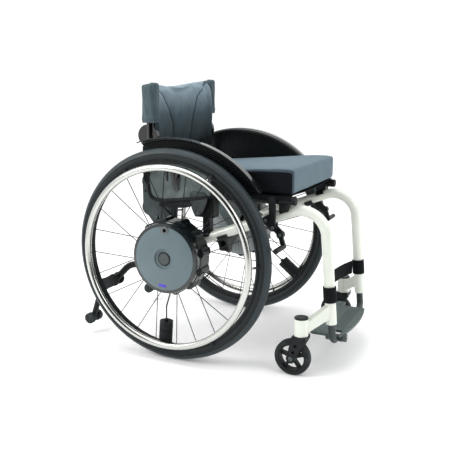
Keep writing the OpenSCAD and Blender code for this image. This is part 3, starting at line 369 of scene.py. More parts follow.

# %% [markdown]
# The tyres are grey-black rubber with fine moulded rings on the side walls and a shoulder painted paler, as a
# painted sheen of light. Distance from the axle gives the rings, so one finish serves both wheels.

# %% Tyres
AXLE_X, AXLE_Z, HALF_TRACK = -0.0685, 0.305, 0.255
TYRE_GROOVE = 0.2898


def from_axle(place):
    """Distance from the wheels' axle, which runs along Y."""
    x, _, z = place.axes()
    return ((x - AXLE_X) ** 2 + (z - AXLE_Z) ** 2) ** 0.5


def tyre_paint(place):
    """Dark side wall with moulded rings, a groove, and a shoulder outside it painted paler as a painted highlight, all
    by the radius.
    """
    radius = from_axle(place)
    rings = (radius * 1900.0).sin() * (1 - radius.over(TYRE_GROOVE - 0.0013, 0.002)) * radius.over(0.279, 0.002)
    groove = 1 - (radius - TYRE_GROOVE).abs().over(0.0008, 0.0008)
    bloom = place.noise(14.0, 5.0)
    wall = bloom.mix(colour(24, 31, 33), colour(36, 45, 48))
    # painted highlight: the shoulder is painted paler than the side wall, standing in for light falling on it
    shoulder = bloom.mix(colour(36, 45, 49), colour(50, 61, 65))
    tone = radius.over(TYRE_GROOVE + 0.0014, 0.0015).mix(wall, shoulder)
    return {"Base Color": groove.mix(tone, colour(8, 10, 11)),
            "Roughness": 0.40 + 0.2 * place.noise(80.0),
            "Normal": (rings * 0.5 - groove * 1.5 + place.noise(1500.0) * 0.3).bump(0.0006, 0.5)}


def caster_rubber_paint(place):
    """Solid rubber with a dusty bloom and a fine skin."""
    dust = place.noise(40.0, 5.0, 0.65).over(0.56, 0.3)
    return {"Base Color": dust.mix(colour(22, 28, 30), colour(46, 54, 56)),
            "Roughness": 0.55 + 0.2 * place.noise(200.0),
            "Normal": place.noise(1600.0).bump(0.0004, 0.4)}


dress(finish("tyre_rubber", tyre_paint, Specular_IOR_Level=0.35), "tyre")
dress(finish("caster_rubber", caster_rubber_paint, Specular_IOR_Level=0.3), "caster_tyre", "anti_tip_rollers")
print("tyres finished")

# %% [markdown]
# The push rims are polished stainless steel with a faint brushing round the ring, and black clips hold them. The
# axles and the duller charging sockets are steel too.

# %% Bright metal
RING_FACE, RING_RADIUS = 0.2842, 0.2655


def brushed(tone, rough, streak):
    """Paint function: fine streaks across the radius, lighter and darker, on a metal tone."""
    def paint(place):
        radius = from_axle(place)
        lines = (radius * streak + place.noise(90.0) * 3.0).sin()
        smear = place.noise(22.0, 4.0)
        shade = tuple(v * 0.78 for v in tone[:3]) + (1.0,)
        return {"Base Color": (smear * 0.5 + lines * 0.1 + 0.1).mix(tone, shade),
                "Roughness": rough + 0.1 * smear + 0.03 * lines,
                "Normal": lines.bump(0.00005, 0.2)}
    return paint


def push_rim_paint(place):
    """Brushed steel on the ring; everything behind it or outside it is a black clip."""
    outside = from_axle(place).over(RING_RADIUS, 0.001)
    ring = place.axes()[1].abs().over(RING_FACE, 0.0008) * (1 - outside)
    steel = brushed(colour(206, 208, 203), 0.16, 9000.0)(place)
    return {"Base Color": ring.mix(INK, steel["Base Color"]), "Metallic": ring,
            "Roughness": steel["Roughness"] + 0.3 * (1 - ring), "Normal": steel["Normal"]}


dress(finish("push_rim_steel", push_rim_paint), "handrim")
bright_metal = finish("bright_metal", brushed(colour(196, 200, 200), 0.22, 6000.0), Metallic=1.0)
dress(bright_metal, "motor_axle")
socket_metal = finish("socket_metal", brushed(colour(112, 118, 120), 0.26, 6000.0), Metallic=1.0)
dress(socket_metal, "charge_socket")
print("bright metal finished")

# %% [markdown]
# The hub: a blue-grey satin cover with a fine moulded grain and a dark flank, a gloss black drum behind it, and a
# paler inner face. The release button in the middle is dark, with a darker rim.

# %% Hub
COVER_EDGE, BUTTON_EDGE, DRUM_FACE = 0.0915, 0.0158, 0.2195


def cover_paint(place):
    """Moulded grain on a blue-grey face; outside a fine groove the flank is gloss black, as the drum is."""
    radius = from_axle(place)
    groove = 1 - (radius - COVER_EDGE).abs().over(0.0007, 0.0008)
    flank = radius.over(COVER_EDGE, 0.0006)
    cloud = place.noise(12.0, 4.0)
    face = cloud.mix(colour(90, 107, 112), colour(102, 119, 124))
    return {"Base Color": groove.mix(flank.mix(face, colour(26, 33, 35)), colour(8, 10, 11)),
            "Roughness": (0.32 + 0.12 * place.noise(150.0)) * (1 - 0.6 * flank),
            "Coat Weight": 0.5 * flank,
            "Normal": (place.noise(1700.0) * 0.4 - groove * 2.0).bump(0.0004, 0.35)}


def drum_paint(place):
    """Gloss black outside; the face towards the chair is bare grey."""
    inner = 1 - place.axes()[1].abs().over(DRUM_FACE, 0.001)
    grain = place.noise(30.0, 5.0)
    grey = grain.mix(colour(104, 110, 114), colour(140, 146, 150))
    return {"Base Color": inner.mix(grain.mix(INK, INK_WORN), grey),
            "Roughness": 0.20 + 0.15 * grain + 0.15 * inner,
            "Normal": place.noise(1200.0).bump(0.0002, 0.2)}


def button_paint(place):
    """Dark cap with a nearly black rim and fine turning lines."""
    radius = from_axle(place)
    cap = place.noise(60.0, 4.0).mix(colour(52, 62, 62), colour(66, 77, 77))
    lines = (radius * 7000.0).sin()
    return {"Base Color": radius.over(BUTTON_EDGE, 0.0010).mix(cap, colour(12, 15, 16)),
            "Roughness": 0.34 + 0.05 * lines,
            "Normal": lines.bump(0.00005, 0.2)}


def light_paint(place):
    """Lit window with an uneven glow."""
    glow = place.noise(160.0)
    return {"Base Color": glow.mix(colour(46, 30, 130), colour(74, 56, 170)),
            "Emission Color": glow.mix(colour(62, 40, 200), colour(96, 76, 230))}


dress(finish("hub_cover_satin", cover_paint), "hub_cover")
dress(finish("hub_drum", drum_paint), "hub_shell")
dress(finish("release_button_cap", button_paint), "release_button")
dress(finish("status_light_glow", light_paint, Emission_Strength=0.35, Roughness=0.2), "status_light")
print("hub finished")

# %% [markdown]
# The side guards are carbon fibre, dull on the faces and clear-lacquered on the rolled lip. A two-over-two twill is a
# pair of striped squares: in each cell the thread runs either round the wheel or across the lip, and the diagonal
# step makes the twill.

# %% Carbon guards
THREAD, GUARD_REACH, LIP_START = 0.002, 0.33, 0.2242


def carbon_paint(place):
    """Twill: floor of the angle and the width coordinate, summed and taken modulo four, picks the thread on top."""
    x, y, z = place.axes()
    angle = x.math("ARCTAN2", z - AXLE_Z, x - AXLE_X)
    lip = y.abs().over(LIP_START, 0.0006)
    across = lip * y.abs() + (1 - lip) * from_axle(place)
    cell_a = angle.math("FLOOR", angle * (GUARD_REACH / THREAD))
    cell_b = across.math("FLOOR", across * (1 / THREAD))
    step = x.math("MODULO", cell_a + cell_b + 4000.0, 4.0)
    warp = step.over(1.5, 0.2)
    return {"Base Color": warp.mix(colour(9, 11, 12), colour(24, 28, 30)),
            "Roughness": 0.26 + 0.14 * warp - 0.10 * lip,
            "Coat Weight": 0.9 * lip,
            "Normal": warp.bump(0.0001, 0.15)}


dress(finish("carbon_twill", carbon_paint, Specular_IOR_Level=0.15, Coat_Roughness=0.06), "side_guard")
print("guards finished")

# %% [markdown]
# The footplate is grey moulded plastic, scuffed where shoes rest.

# %% Footplate
def footplate_paint(place):
    """Speckled grey with scuffs that run one way."""
    scuff = place.stretched(1.0, 6.0, 1.0).noise(45.0, 6.0, 0.7).over(0.6, 0.2)
    speck = place.noise(420.0, 2.0)
    tone = (scuff * 0.6 + speck * 0.3).mix(colour(66, 80, 79), colour(104, 120, 117))
    return {"Base Color": tone,
            "Roughness": 0.48 + 0.2 * speck,
            "Normal": (speck * 0.4 + scuff * 0.3).bump(0.0005, 0.4)}


dress(finish("footplate_plastic", footplate_paint), "footplate")
print("footplate finished")

# %% [markdown]
# ## Filling soft pieces
# A padded piece is round because its cover pulls against what is inside. It could be modelled by eye, but a short
# cloth simulation with inner pressure finds that form by itself: the mesh is made even first, blown up for twenty
# frames, and no point may move further than a cap, so the piece keeps its size. What a finish needs to know of the
# unfilled form, such as how far a seam is, is stored on the points in between.

# %% Points of a mesh and the filling
FILL_FRAMES = 20


def points_of(piece):
    """All the points of a mesh as one array."""
    flat = np.empty(len(piece.data.vertices) * 3)
    piece.data.vertices.foreach_get("co", flat)
    return flat.reshape(-1, 3)


def set_points(piece, points):
    """Moves all the points of a mesh to an array of places."""
    piece.data.vertices.foreach_set("co", points.ravel())
    piece.data.update()


def apply_modifiers(piece):
    """The mesh becomes what its modifiers show, and none is left."""
    shown = piece.evaluated_get(bpy.context.evaluated_depsgraph_get())
    mesh = bpy.data.meshes.new_from_object(shown)
    piece.modifiers.clear()
    piece.data = mesh
    mesh.polygons.foreach_set("use_smooth", np.ones(len(mesh.polygons), bool))


def even_out(piece, voxel):
    """The same closed form in squares of one size, because a cloth needs even threads."""
    even = piece.modifiers.new("even", "REMESH")
    even.mode, even.voxel_size = "VOXEL", voxel
    apply_modifiers(piece)
    return points_of(piece)


def fill(piece, pressure, cap):
    """Some frames of cloth under pressure with each move held to the cap, then one subdivision."""
    start = points_of(piece)
    cloth = piece.modifiers.new("filling", "CLOTH").settings
    cloth.use_pressure, cloth.uniform_pressure_force = True, pressure
    cloth.effector_weights.gravity = 0.0
    for frame_number in range(1, FILL_FRAMES + 1):
        scene.frame_set(frame_number)
    apply_modifiers(piece)
    scene.frame_set(1)
    move = points_of(piece) - start
    length = np.linalg.norm(move, axis=1, keepdims=True)
    set_points(piece, start + move * np.minimum(1.0, cap / np.maximum(length, 1e-9)))
    smooth = piece.modifiers.new("smooth", "SUBSURF")
    smooth.levels = smooth.render_levels = 1
    apply_modifiers(piece)
    print(piece.name, "filled:", len(piece.data.vertices), "points")


def mark(piece, name, values):
    """Stores one number per point, which a finish can read by that name."""
    piece.data.attributes.new(name, "FLOAT", "POINT").data.foreach_set("value", values.astype(np.float32))


def put(piece, material, body):
    """Gives a piece its finish and the body it rides on."""
    piece.data.materials.append(material)
    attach(piece, body)
    return piece


print("filling ready")

# %% [markdown]
# ## The cushion
# The seat cushion is a block of foam in a boxed cover: slate on top and down the front, and near-black boxing at the
# sides. Its top falls towards the back, which keeps the sitter in place. A box with rounded corners gives the start,
# and the filling crowns it. Its underside stays flat, because it lies on the seat cloth.

# %% Cushion
CUSHION_X, CUSHION_HALF_X, CUSHION_HALF_Y = 0.0730, 0.2005, 0.1985
CUSHION_LOW, CUSHION_HIGH = 0.4931, 0.5640


def cushion_top(x):
    """Height of the top: level at the front, then a straight fall of 11 in 100, joined by a soft bend."""
    return CUSHION_HIGH - 0.11 * 0.02 * np.log1p(np.exp((0.15 - x) / 0.02))


def squared(wave, power):
    """A wave whose size is raised to a power, sign kept; a small power squares a circle off."""
    return np.sign(wave) * np.abs(wave) ** power


def box_ring(half_x, half_y, corner, count):
    """Rectangle with round corners as a superellipse: each axis is a small power of the cosine or sine."""
    turn = (np.arange(count) + 0.5) * 2 * np.pi / count
    return half_x * squared(np.cos(turn), corner), half_y * squared(np.sin(turn), corner)


def cushion_form():
    """Rows climb from the middle of the underside, out, up the side and in over the top; columns go round."""
    share = np.array([0.02, 0.4, 0.75, 0.93, 0.980, 0.994, 0.999, 1.0, 1.0, 1.0, 1.0, 0.998, 0.990, 0.975, 0.93,
                      0.75, 0.4, 0.02])
    climb = np.array([0.0, 0.0, 0.0, 0.0, 0.01, 0.04, 0.10, 0.25, 0.5, 0.75, 0.88, 0.94, 0.975, 0.99, 0.995, 1.0,
                      1.0, 1.0])
    x, y = box_ring(CUSHION_HALF_X, CUSHION_HALF_Y, 0.06, 200)
    x, y = CUSHION_X + share[:, None] * x, share[:, None] * y
    return grid(x, y, CUSHION_LOW + climb[:, None] * (cushion_top(x) - 0.002 - CUSHION_LOW))


cushion = closed("seat_cushion", cushion_form())
place = even_out(cushion, 0.005)
from_side = CUSHION_HALF_Y - np.abs(place[:, 1])
from_end = CUSHION_HALF_X - np.abs(place[:, 0] - CUSHION_X)
from_top = cushion_top(place[:, 0]) - place[:, 2]
# above zero on the boxing: nearer to a side than to an end, or than to a line 11 mm under the top
mark(cushion, "boxing", np.minimum(from_end, from_top - 0.011) - from_side)
fill(cushion, 4.0, 0.0025)
place = points_of(cushion)
place[:, 2] = np.maximum(place[:, 2], CUSHION_LOW)
set_points(cushion, place)


def cushion_paint(place):
    """Knitted slate top and front, near-black woven boxing at the sides, a stitched seam; painted shade above the seam.
    """
    x, y, z = place.axes()
    boxing = place.node("ShaderNodeAttribute", {"attribute_name": "boxing"}, out=2)
    knit = (x * 4200.0).sin() * (y * 3600.0).sin() + (z * 4200.0).sin() * 0.5
    cloud = place.noise(16.0, 5.0, 0.6)
    seam = 1 - boxing.abs().over(0.0012, 0.0008)
    stitch = (1 - (boxing + 0.004).abs().over(0.0008, 0.0006)) * (x * 900.0).sin().over(0.1, 0.3)
    # painted shade: the slate turns darker in a band along the rounded top edge, just above the side seam
    flank = boxing.over(-0.011, 0.010)
    slate = flank.mix(cloud.mix(colour(94, 110, 119), colour(112, 129, 139)), colour(66, 79, 90))
    dark = place.noise(30.0, 4.0).mix(colour(7, 9, 13), colour(14, 17, 24))
    tone = (stitch * 0.6).mix(boxing.over(0.0, 0.001).mix(slate, dark), colour(40, 46, 54))
    return {"Base Color": tone,
            "Roughness": 0.74 + 0.14 * cloud,
            "Normal": (knit * 0.3 + cloud * 0.8 - stitch * 0.6 - seam * 1.5).bump(0.0006, 0.5)}


put(cushion, finish("cushion_cover", cushion_paint, Specular_IOR_Level=0.15), "seat")
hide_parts("cushion")
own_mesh(cushion)
print("cushion ready")

# %% [markdown]
# ## The seat cloth
# Under the cushion a woven cloth is stretched from rail to rail. A sewn loop of the same cloth holds it on each rail.
# The loops are pieces of their own and turn with their rails, because in the fold the rails come close together and
# the cloth between them gathers.

# %% Seat cloth
RAIL_HALF, RAIL_Z = 0.188, 0.476
RAIL_OF = {"right": "cross_bar_b", "left": "cross_bar_a"}
CLOTH_BACK, CLOTH_FRONT = -0.127, 0.267


def ribbon(section, thick, rows=60):
    """Thin cloth: a line of Y and Z, thickened along its normals and carried along X; also the line's length."""
    step = np.gradient(section, axis=0)
    out = np.stack([-step[:, 1], step[:, 0]], axis=1) / np.linalg.norm(step, axis=1)[:, None]
    loop = np.concatenate([section - out * thick / 2, (section + out * thick / 2)[::-1]])
    points = grid(np.linspace(CLOTH_BACK, CLOTH_FRONT, rows)[:, None], *loop.T)
    return points, float(np.linalg.norm(np.diff(section, axis=0), axis=1).sum())


def sling_line():
    """From rail to rail, level on both and sagging between them by a squared parabola."""
    y = np.linspace(-0.190, 0.190, 61)
    sag = (1 - np.clip(np.abs(y) / RAIL_HALF, 0, 1) ** 2) ** 2
    return np.stack([y, RAIL_Z + 0.0142 - 0.006 * sag], axis=1)


def loop_line(side):
    """Quarter circle from the outer side of a rail to its top; the left one is mirrored and runs the other way."""
    bend = np.linspace(np.radians(8), np.radians(92), 12)
    right = np.stack([-RAIL_HALF - 0.0128 * np.cos(bend), RAIL_Z + 0.0128 * np.sin(bend)], axis=1)
    return right if side < 0 else right[::-1] * np.array([-1, 1])


sling_points, sling_width = ribbon(sling_line(), 0.0016)
seat_cloth = closed("seat_cloth", sling_points, sharp=50)


def webbing_paint(tone, worn, pitch):
    """Paint function: threads over and under as a product of two sines, worn lighter in soft patches."""
    def paint(place):
        x, y, z = place.axes()
        weave = (x * pitch + z * pitch).sin() * (y * pitch).sin()
        patch = place.noise(18.0, 5.0, 0.6)
        return {"Base Color": (patch * 0.7 + weave * 0.12 + 0.05).mix(tone, worn),
                "Roughness": 0.7 + 0.2 * patch,
                "Normal": weave.bump(0.0005, 0.6)}
    return paint


black_webbing = finish("black_webbing", webbing_paint(colour(8, 10, 12), colour(22, 27, 30), 4200.0),
                       Specular_IOR_Level=0.15)
put(seat_cloth, black_webbing, "seat")
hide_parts("seat_sling")
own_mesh(seat_cloth)
for word, side in SIDES.items():
    loop_points, loop_width = ribbon(loop_line(side), 0.0008)
    loop = closed(f"{word}_rail_loop", loop_points, sharp=50)
    put(loop, black_webbing, RAIL_OF[word])
print("seat cloth", round(sling_width, 3), "m wide when flat, loops", round(loop_width, 3), "m")

# %% [markdown]
# ## The back
# The back is a padded cloth between the posts. Its thin edges lie over the front of the posts, and a sewn sleeve holds
# them at the top. Two long seams run from the upper corners inwards and down and pull the pad in. The pad is filled
# like the cushion, and the seams are pressed into it afterwards, because the even mesh would lose them.

# %% Back pad
POST_X, POST_HALF = -0.1685, 0.182
PAD_HALF, PAD_LOW, PAD_SAG = 0.190, 0.583, 0.022
TOP_Y = np.array([-0.190, -0.112, -0.054, 0.0, 0.029, 0.096, 0.146, 0.190])
TOP_Z = np.array([0.783, 0.7835, 0.7795, 0.782, 0.785, 0.791, 0.7945, 0.793])
SEAM_Z = np.array([0.590, 0.618, 0.664, 0.706, 0.745, 0.772, 0.785])
RIGHT_SEAM = np.array([-0.029, -0.030, -0.037, -0.061, -0.105, -0.154, -0.165])
LEFT_SEAM = np.array([0.068, 0.072, 0.083, 0.098, 0.113, 0.148, 0.160])


def pad_line(y):
    """Middle of the pad's section: bowed backwards by a parabola, and bent forwards to pass before the posts."""
    bow = PAD_SAG * (1 - np.clip(np.abs(y) / 0.168, 0, 1) ** 2)
    return POST_X + 0.004 - bow + 0.0135 / (1 + np.exp((0.165 - np.abs(y)) / 0.003))


def once_round(count):
    """Angles in even steps once round a circle."""
    return np.arange(count) * 2 * np.pi / count


def pad_form(rows, columns):
    """Section: superellipse on pad_line, thin at both edges; rows climb to a top edge that dips in the middle."""
    turn = once_round(columns)
    deep = squared(np.sin(turn), 0.7)
    y = PAD_HALF * squared(np.cos(turn), 0.42)
    top = np.interp(y, TOP_Y, TOP_Z)
    climb = np.concatenate([[0.0, 0.004], np.linspace(0.015, 0.975, rows - 4), [0.992, 1.0]])
    thick = np.concatenate([[0.1, 0.7], np.ones(rows - 4), [0.75, 0.15]]) * 0.0075
    edge = 1 - 0.6 / (1 + np.exp((0.160 - np.abs(y)) / 0.003))
    return grid(pad_line(y) + thick[:, None] * deep * edge, y, PAD_LOW + climb[:, None] * (top - PAD_LOW))


def sewn(place):
    """Move along X, and nearness to a seam. Each seam is a narrow bell-shaped groove in a wider pull. Under the top
    edge a hollow and a roll are bells along a parabola. Ripples at the corners and drapes at the hem are sines."""
    _, y, z = place.T
    front = place[:, 0] > pad_line(y)
    right_gap = y - np.interp(z, SEAM_Z, RIGHT_SEAM)
    left_gap = y - np.interp(z, SEAM_Z, LEFT_SEAM)
    line, pull = (np.exp(-(right_gap / w) ** 2) + np.exp(-(left_gap / w) ** 2) for w in (0.0026, 0.014))
    hollow_top = 0.766 + 0.010 * (y / 0.062) ** 2
    hollow = np.exp(-((z - hollow_top + 0.006) / 0.009) ** 2) * (np.abs(y) < 0.085)
    roll = np.exp(-((z - hollow_top - 0.006) / 0.005) ** 2) * (np.abs(y) < 0.085)
    corner = np.clip((z - 0.66) / 0.12, 0, 1) * np.clip(np.abs(y) / 0.15, 0, 1)
    ripple = np.sin((np.abs(y) * 0.8 + z * 0.6) * 330.0) * corner
    drape = np.sin(y * 95.0 + 4.0 * np.sin(z * 24.0)) * np.clip((0.72 - z) / 0.1, 0, 1)
    move = front * (-0.0035 * line - 0.0030 * pull - 0.0030 * hollow + 0.0026 * roll + 0.0005 * ripple + 0.0010 * drape)
    return move, np.clip(line * front, 0, 1)


back_pad = closed("back_pad", pad_form(34, 120))
even_out(back_pad, 0.0035)
fill(back_pad, 4.0, 0.004)
place = points_of(back_pad)
move, near_seam = sewn(place)
place[:, 0] += move
set_points(back_pad, place)
mark(back_pad, "seam", near_seam)


def back_paint(place):
    """Slate twill with painted light and shade: paler along the top, darker at the hem; the seam lines nearly black."""
    z = place.axes()[2]
    seam = place.node("ShaderNodeAttribute", {"attribute_name": "seam"}, out=2)
    cloud = place.noise(22.0, 5.0, 0.6)
    # painted light and shade: this ramp over the height paints the cloth paler at the top and darker towards the hem
    height = (z - 0.60) * (1 / 0.18) + (cloud - 0.5) * 0.3
    stops = [(0.0, colour(20, 26, 28)[:3]), (0.5, colour(64, 79, 86)[:3]), (1.0, colour(140, 158, 169)[:3])]
    tone = height.node("ShaderNodeValToRGB", {"stops": stops}, {0: height})
    return {"Base Color": (seam * 0.92).mix(tone, colour(7, 9, 11)),
            "Roughness": 0.6 + 0.2 * cloud,
            "Normal": (place.noise(900.0, 2.0) * 0.4 + cloud * 0.9).bump(0.0007, 0.4)}


put(back_pad, finish("back_cloth", back_paint, Specular_IOR_Level=0.2), "right_side")
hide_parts("back_upholstery")
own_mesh(back_pad)
print("back pad ready")

# %% [markdown]
# Each sleeve is a flat tube of the same cloth, sewn shut at the top and hemmed at the bottom. It hangs loosely round
# its post, so its section is an oval longer than the post is wide, with a few soft upright folds.

# %% Back sleeves
def sleeve_form(side, low, high, rows=44, columns=96):
    """Oval section round a post with small upright waves; the rows turn in at the hem and close over the top."""
    turn = once_round(columns)
    climb = np.concatenate([[0.03, 0.0, 0.0], np.linspace(0.006, 0.93, rows - 8), [0.962, 0.984, 0.996, 1.0, 1.0]])
    size = np.concatenate([[0.86, 0.93, 1.0], np.ones(rows - 8), [0.97, 0.88, 0.70, 0.40, 0.02]])
    hem = 0.0012 * np.exp(-((climb * (high - low) - 0.012) / 0.006) ** 2)
    wave = 0.0011 * np.sin(3 * turn + 1.2)[None, :] * np.sin(np.pi * climb)[:, None] \
        + 0.0007 * np.sin(7 * turn + 6 * climb[:, None])
    grow = size[:, None] + (hem[:, None] + wave) / 0.022
    return grid(POST_X + 0.001 + 0.0245 * squared(np.cos(turn), 0.8) * grow,
                side * (POST_HALF + 0.001) + 0.0182 * squared(np.sin(turn), 0.8) * grow,
                low + climb[:, None] * (high - low) + 0.003 * np.cos(turn) * (climb[:, None] > 0.9))


def sleeve_paint(place):
    """Slate cloth with soft upright creases, which are noise squeezed along Z; the creases are painted darker as
    painted shade.
    """
    crease = place.stretched(1.0, 1.0, 0.22).noise(70.0, 4.0, 0.6)
    # painted shade: the crease noise also sets the colour, darker in the creases and paler on the ridges
    tone = crease.over(0.5, 0.5).mix(colour(62, 76, 81), colour(88, 103, 108))
    return {"Base Color": tone,
            "Roughness": 0.62 + 0.2 * crease,
            "Normal": (crease + place.noise(900.0, 2.0) * 0.1).bump(0.003, 0.35)}


sleeve_cloth = finish("sleeve_cloth", sleeve_paint, Specular_IOR_Level=0.2)
for word, side, low, high in (("right", -1.0, 0.673, 0.783), ("left", 1.0, 0.688, 0.795)):
    sleeve = surface(f"{word}_back_sleeve", sleeve_form(side, low, high), wrap_columns=True)
    put(sleeve, sleeve_cloth, f"{word}_side")
    print(sleeve.name, "ready")

# %% [markdown]
# ## The calf strap
# A wide black webbing strap stops the feet from slipping back. It loops round both front tubes and bows backwards
# between them. The loops and the band are separate pieces, so that each loop stays on its own tube in the fold. The
# flipped footplate then stands beside the right tube, and the band gathers between the plate and the left tube.

# %% Calf strap
TUBE_LOW, TUBE_HIGH = np.array([0.3775, 0.159, 0.139]), np.array([0.3485, 0.159, 0.476])
STRAP_Z, STRAP_H = 0.2225, 0.044


def tube_at(height):
    """Point on the left front tube's axis at a height."""
    share = (height - TUBE_LOW[2]) / (TUBE_HIGH[2] - TUBE_LOW[2])
    return TUBE_LOW + share * (TUBE_HIGH - TUBE_LOW)


def flat_band(path, up, thick, height, rows):
    """Webbing on edge: a thin rounded section, standing along up, carried along a path of points."""
    step = np.gradient(path, axis=0)
    ahead = step / np.linalg.norm(step, axis=1)[:, None]
    out = np.cross(ahead, up)
    out /= np.linalg.norm(out, axis=1)[:, None]
    turn = once_round(rows)
    tall = height / 2 * squared(np.sin(turn), 0.35)
    wide = thick / 2 * squared(np.cos(turn), 0.5)
    return path[:, None] + out[:, None] * wide[None, :, None] + up * tall[None, :, None]


LEAN = (TUBE_HIGH - TUBE_LOW) / np.linalg.norm(TUBE_HIGH - TUBE_LOW)


def loop_path(side):
    """Ring round a front tube, square to its lean and slightly oval, with one point more at each end."""
    turn = once_round(72)
    reach = 0.0172 + 0.0006 * np.sin(2 * turn)
    across = np.cross(LEAN, (0, 1, 0))
    ring = tube_at(STRAP_Z) * np.array([1, side, 1]) \
        + reach[:, None] * (np.cos(turn)[:, None] * across + np.sin(turn)[:, None] * np.array([0, 1.0, 0]))
    return np.concatenate([ring[-1:], ring, ring[:1]])


for word, side in SIDES.items():
    cuff = surface(f"{word}_strap_loop", flat_band(loop_path(side), LEAN, 0.0028, STRAP_H, 28)[1:-1], True, True)
    put(cuff, black_webbing, f"{word}_side")

span = np.linspace(-1, 1, 61)
start = tube_at(STRAP_Z)
path = np.stack([start[0] - 0.0158 - 0.022 * (1 - span ** 2), 0.1415 * span, np.full(61, STRAP_Z)], axis=1)
band_h = STRAP_H * 0.94
band = surface("calf_band", flat_band(path, np.array([0, 0, 1.0]), 0.0030, band_h, 28), False, True, caps=True)
put(band, black_webbing, "right_side")
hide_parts("calf_strap")
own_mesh(band)

# %% [markdown]
# ## Turned details
# Bolts, rings and plugs are turned parts: one profile of radius and height goes round an axis. A low dome with a
# hex hollow reads as a button-head screw. Each one sits on the face that carries it and rides with that side.

# %% Turned parts
def turned(name, centre, axis, profile, columns=36, key=0):
    """Profile of (radius, height) pairs turned round an axis; key rows are pressed into a hexagon."""
    axis = np.array(axis, float)
    helper = np.array([1.0, 0, 0]) if abs(axis[0]) < 0.9 else np.array([0, 0, 1.0])
    first = np.cross(axis, helper)
    first /= np.linalg.norm(first)
    second = np.cross(axis, first)
    turn = once_round(columns)
    radius, height = np.array(profile, float).T
    spread = np.repeat(radius[:, None], columns, axis=1)
    if key:
        hexagon = np.cos(np.pi / 6) / np.cos((turn % (np.pi / 3)) - np.pi / 6)
        spread[-key:] *= hexagon
    points = np.array(centre) + height[:, None, None] * axis \
        + spread[..., None] * (np.cos(turn)[None, :, None] * first + np.sin(turn)[None, :, None] * second)
    return closed(name, points, sharp=35)


def screw_profile(radius):
    """Button head: a flange, a round dome and a hex hollow, from the outside in."""
    return [(radius, 0.0), (radius, 0.18 * radius), (0.93 * radius, 0.36 * radius), (0.72 * radius, 0.52 * radius),
            (0.52 * radius, 0.58 * radius), (0.47 * radius, 0.56 * radius), (0.44 * radius, 0.20 * radius),
            (0.05 * radius, 0.18 * radius)]


TIP_X, TIP_Z = -0.3625, 0.161
zinc = finish("zinc_screw", moulded(colour(96, 104, 106), colour(140, 146, 147), 0.34, 700.0, 0.0001), Metallic=1.0)
SCREWS = {
    "axle_plate_low": ((-0.1095, -0.2010, 0.3560), 0.0065),
    "axle_plate_mid": ((-0.1440, -0.2010, 0.4000), 0.0060),
    "axle_plate_top": ((-0.1685, -0.2010, 0.5080), 0.0055),
    "tip_pivot": ((TIP_X, -0.1997, TIP_Z), 0.0085),
    "brake_base": ((0.1995, -0.2060, 0.4208), 0.0048),
    "brake_pivot": ((0.2225, -0.2163, 0.4040), 0.0050),
    "shoe_pivot": ((0.2435, -0.2163, 0.3860), 0.0045),
    "caster_axle": ((0.2885, -0.2395, 0.0510), 0.0062),
}
for word, side in SIDES.items():
    for label, ((x, y, z), radius) in SCREWS.items():
        body = f"{word}_caster_fork" if label == "caster_axle" else f"{word}_side"
        screw = turned(f"{word}_{label}_screw", (x, -side * y, z), (0, side, 0), screw_profile(radius), key=2)
        put(screw, zinc, body)
print(2 * len(SCREWS), "screws")

# %% [markdown]
# The far wheel shows the inner face of its hub: pale grey, with cooling ribs that run outwards like a fan. A ring
# with a wave round it makes them: the height is a flattened cosine of the angle, faded out at both edges.

# %% Hub ribs
def rib_ring(side, ribs, columns=576):
    """Ring on the inner face; height is a squared-off cosine of the angle times a bump over the radius."""
    turn = once_round(columns)
    share = np.linspace(0, 1, 15)
    radius = 0.040 + 0.056 * share
    wave = np.clip(1.6 * np.cos(ribs * turn) + 0.2, 0, 1)
    high = 0.0004 + 0.0028 * wave[None, :] * np.sin(np.pi * share)[:, None] ** 0.35
    points = grid(AXLE_X + radius[:, None] * np.cos(turn), side * (HALF_TRACK - 0.038 - high),
                  AXLE_Z + radius[:, None] * np.sin(turn))
    return points if side < 0 else points[:, ::-1]


rib_grey = finish("hub_rib_grey", moulded(colour(128, 134, 136), colour(168, 174, 174), 0.4, 900.0, 0.0003))
for word, side in SIDES.items():
    put(surface(f"{word}_hub_ribs", rib_ring(side, 48), wrap_columns=True), rib_grey, f"{word}_wheel")
print("hub ribs ready")

# %% [markdown]
# Behind the near wheel a grey skirt panel covers the guard's lower part. It is a thin plate that follows the guard's
# face, and a black rubber edging runs along its lower border. Both start from one softened line.

# %% Skirt panel and edging
GUARD_FACE = 0.2235
EDGE_X = AXLE_X + np.array([-0.088, -0.087, -0.083, -0.072, -0.052, -0.020, 0.030, 0.075, 0.110])
EDGE_Z = np.array([0.512, 0.486, 0.4685, 0.4585, 0.4565, 0.4580, 0.4640, 0.4715, 0.4775])


def smooth_path(x, z, count):
    """Points evenly along a broken line, softened by averaging neighbours a few times."""
    run = np.concatenate([[0], np.cumsum(np.hypot(np.diff(x), np.diff(z)))])
    even = np.linspace(0, run[-1], count)
    line = np.stack([np.interp(even, run, x), np.interp(even, run, z)], axis=1)
    for _ in range(14):
        line[1:-1] = (line[:-2] + 2 * line[1:-1] + line[2:]) / 4
    return line


def edging_form(side, count=90, columns=20):
    """Bead: an ellipse half sunk in the face, carried along the path and thin at both ends."""
    line = smooth_path(EDGE_X, EDGE_Z, count)
    step = np.gradient(line, axis=0)
    normal = np.stack([-step[:, 1], step[:, 0]], axis=1) / np.linalg.norm(step, axis=1)[:, None]
    turn = once_round(columns)
    fade = np.clip(np.minimum(np.arange(count), np.arange(count)[::-1]) / 6 + 0.15, 0, 1)
    wide = 0.0055 * np.cos(turn)[None, :] * fade[:, None]
    high = 0.0030 * (np.sin(turn)[None, :] * fade[:, None]) + 0.0016
    points = grid(line[:, None, 0] + normal[:, None, 0] * wide, side * (GUARD_FACE + high),
                  line[:, None, 1] + normal[:, None, 1] * wide)
    return points if side < 0 else points[:, ::-1]


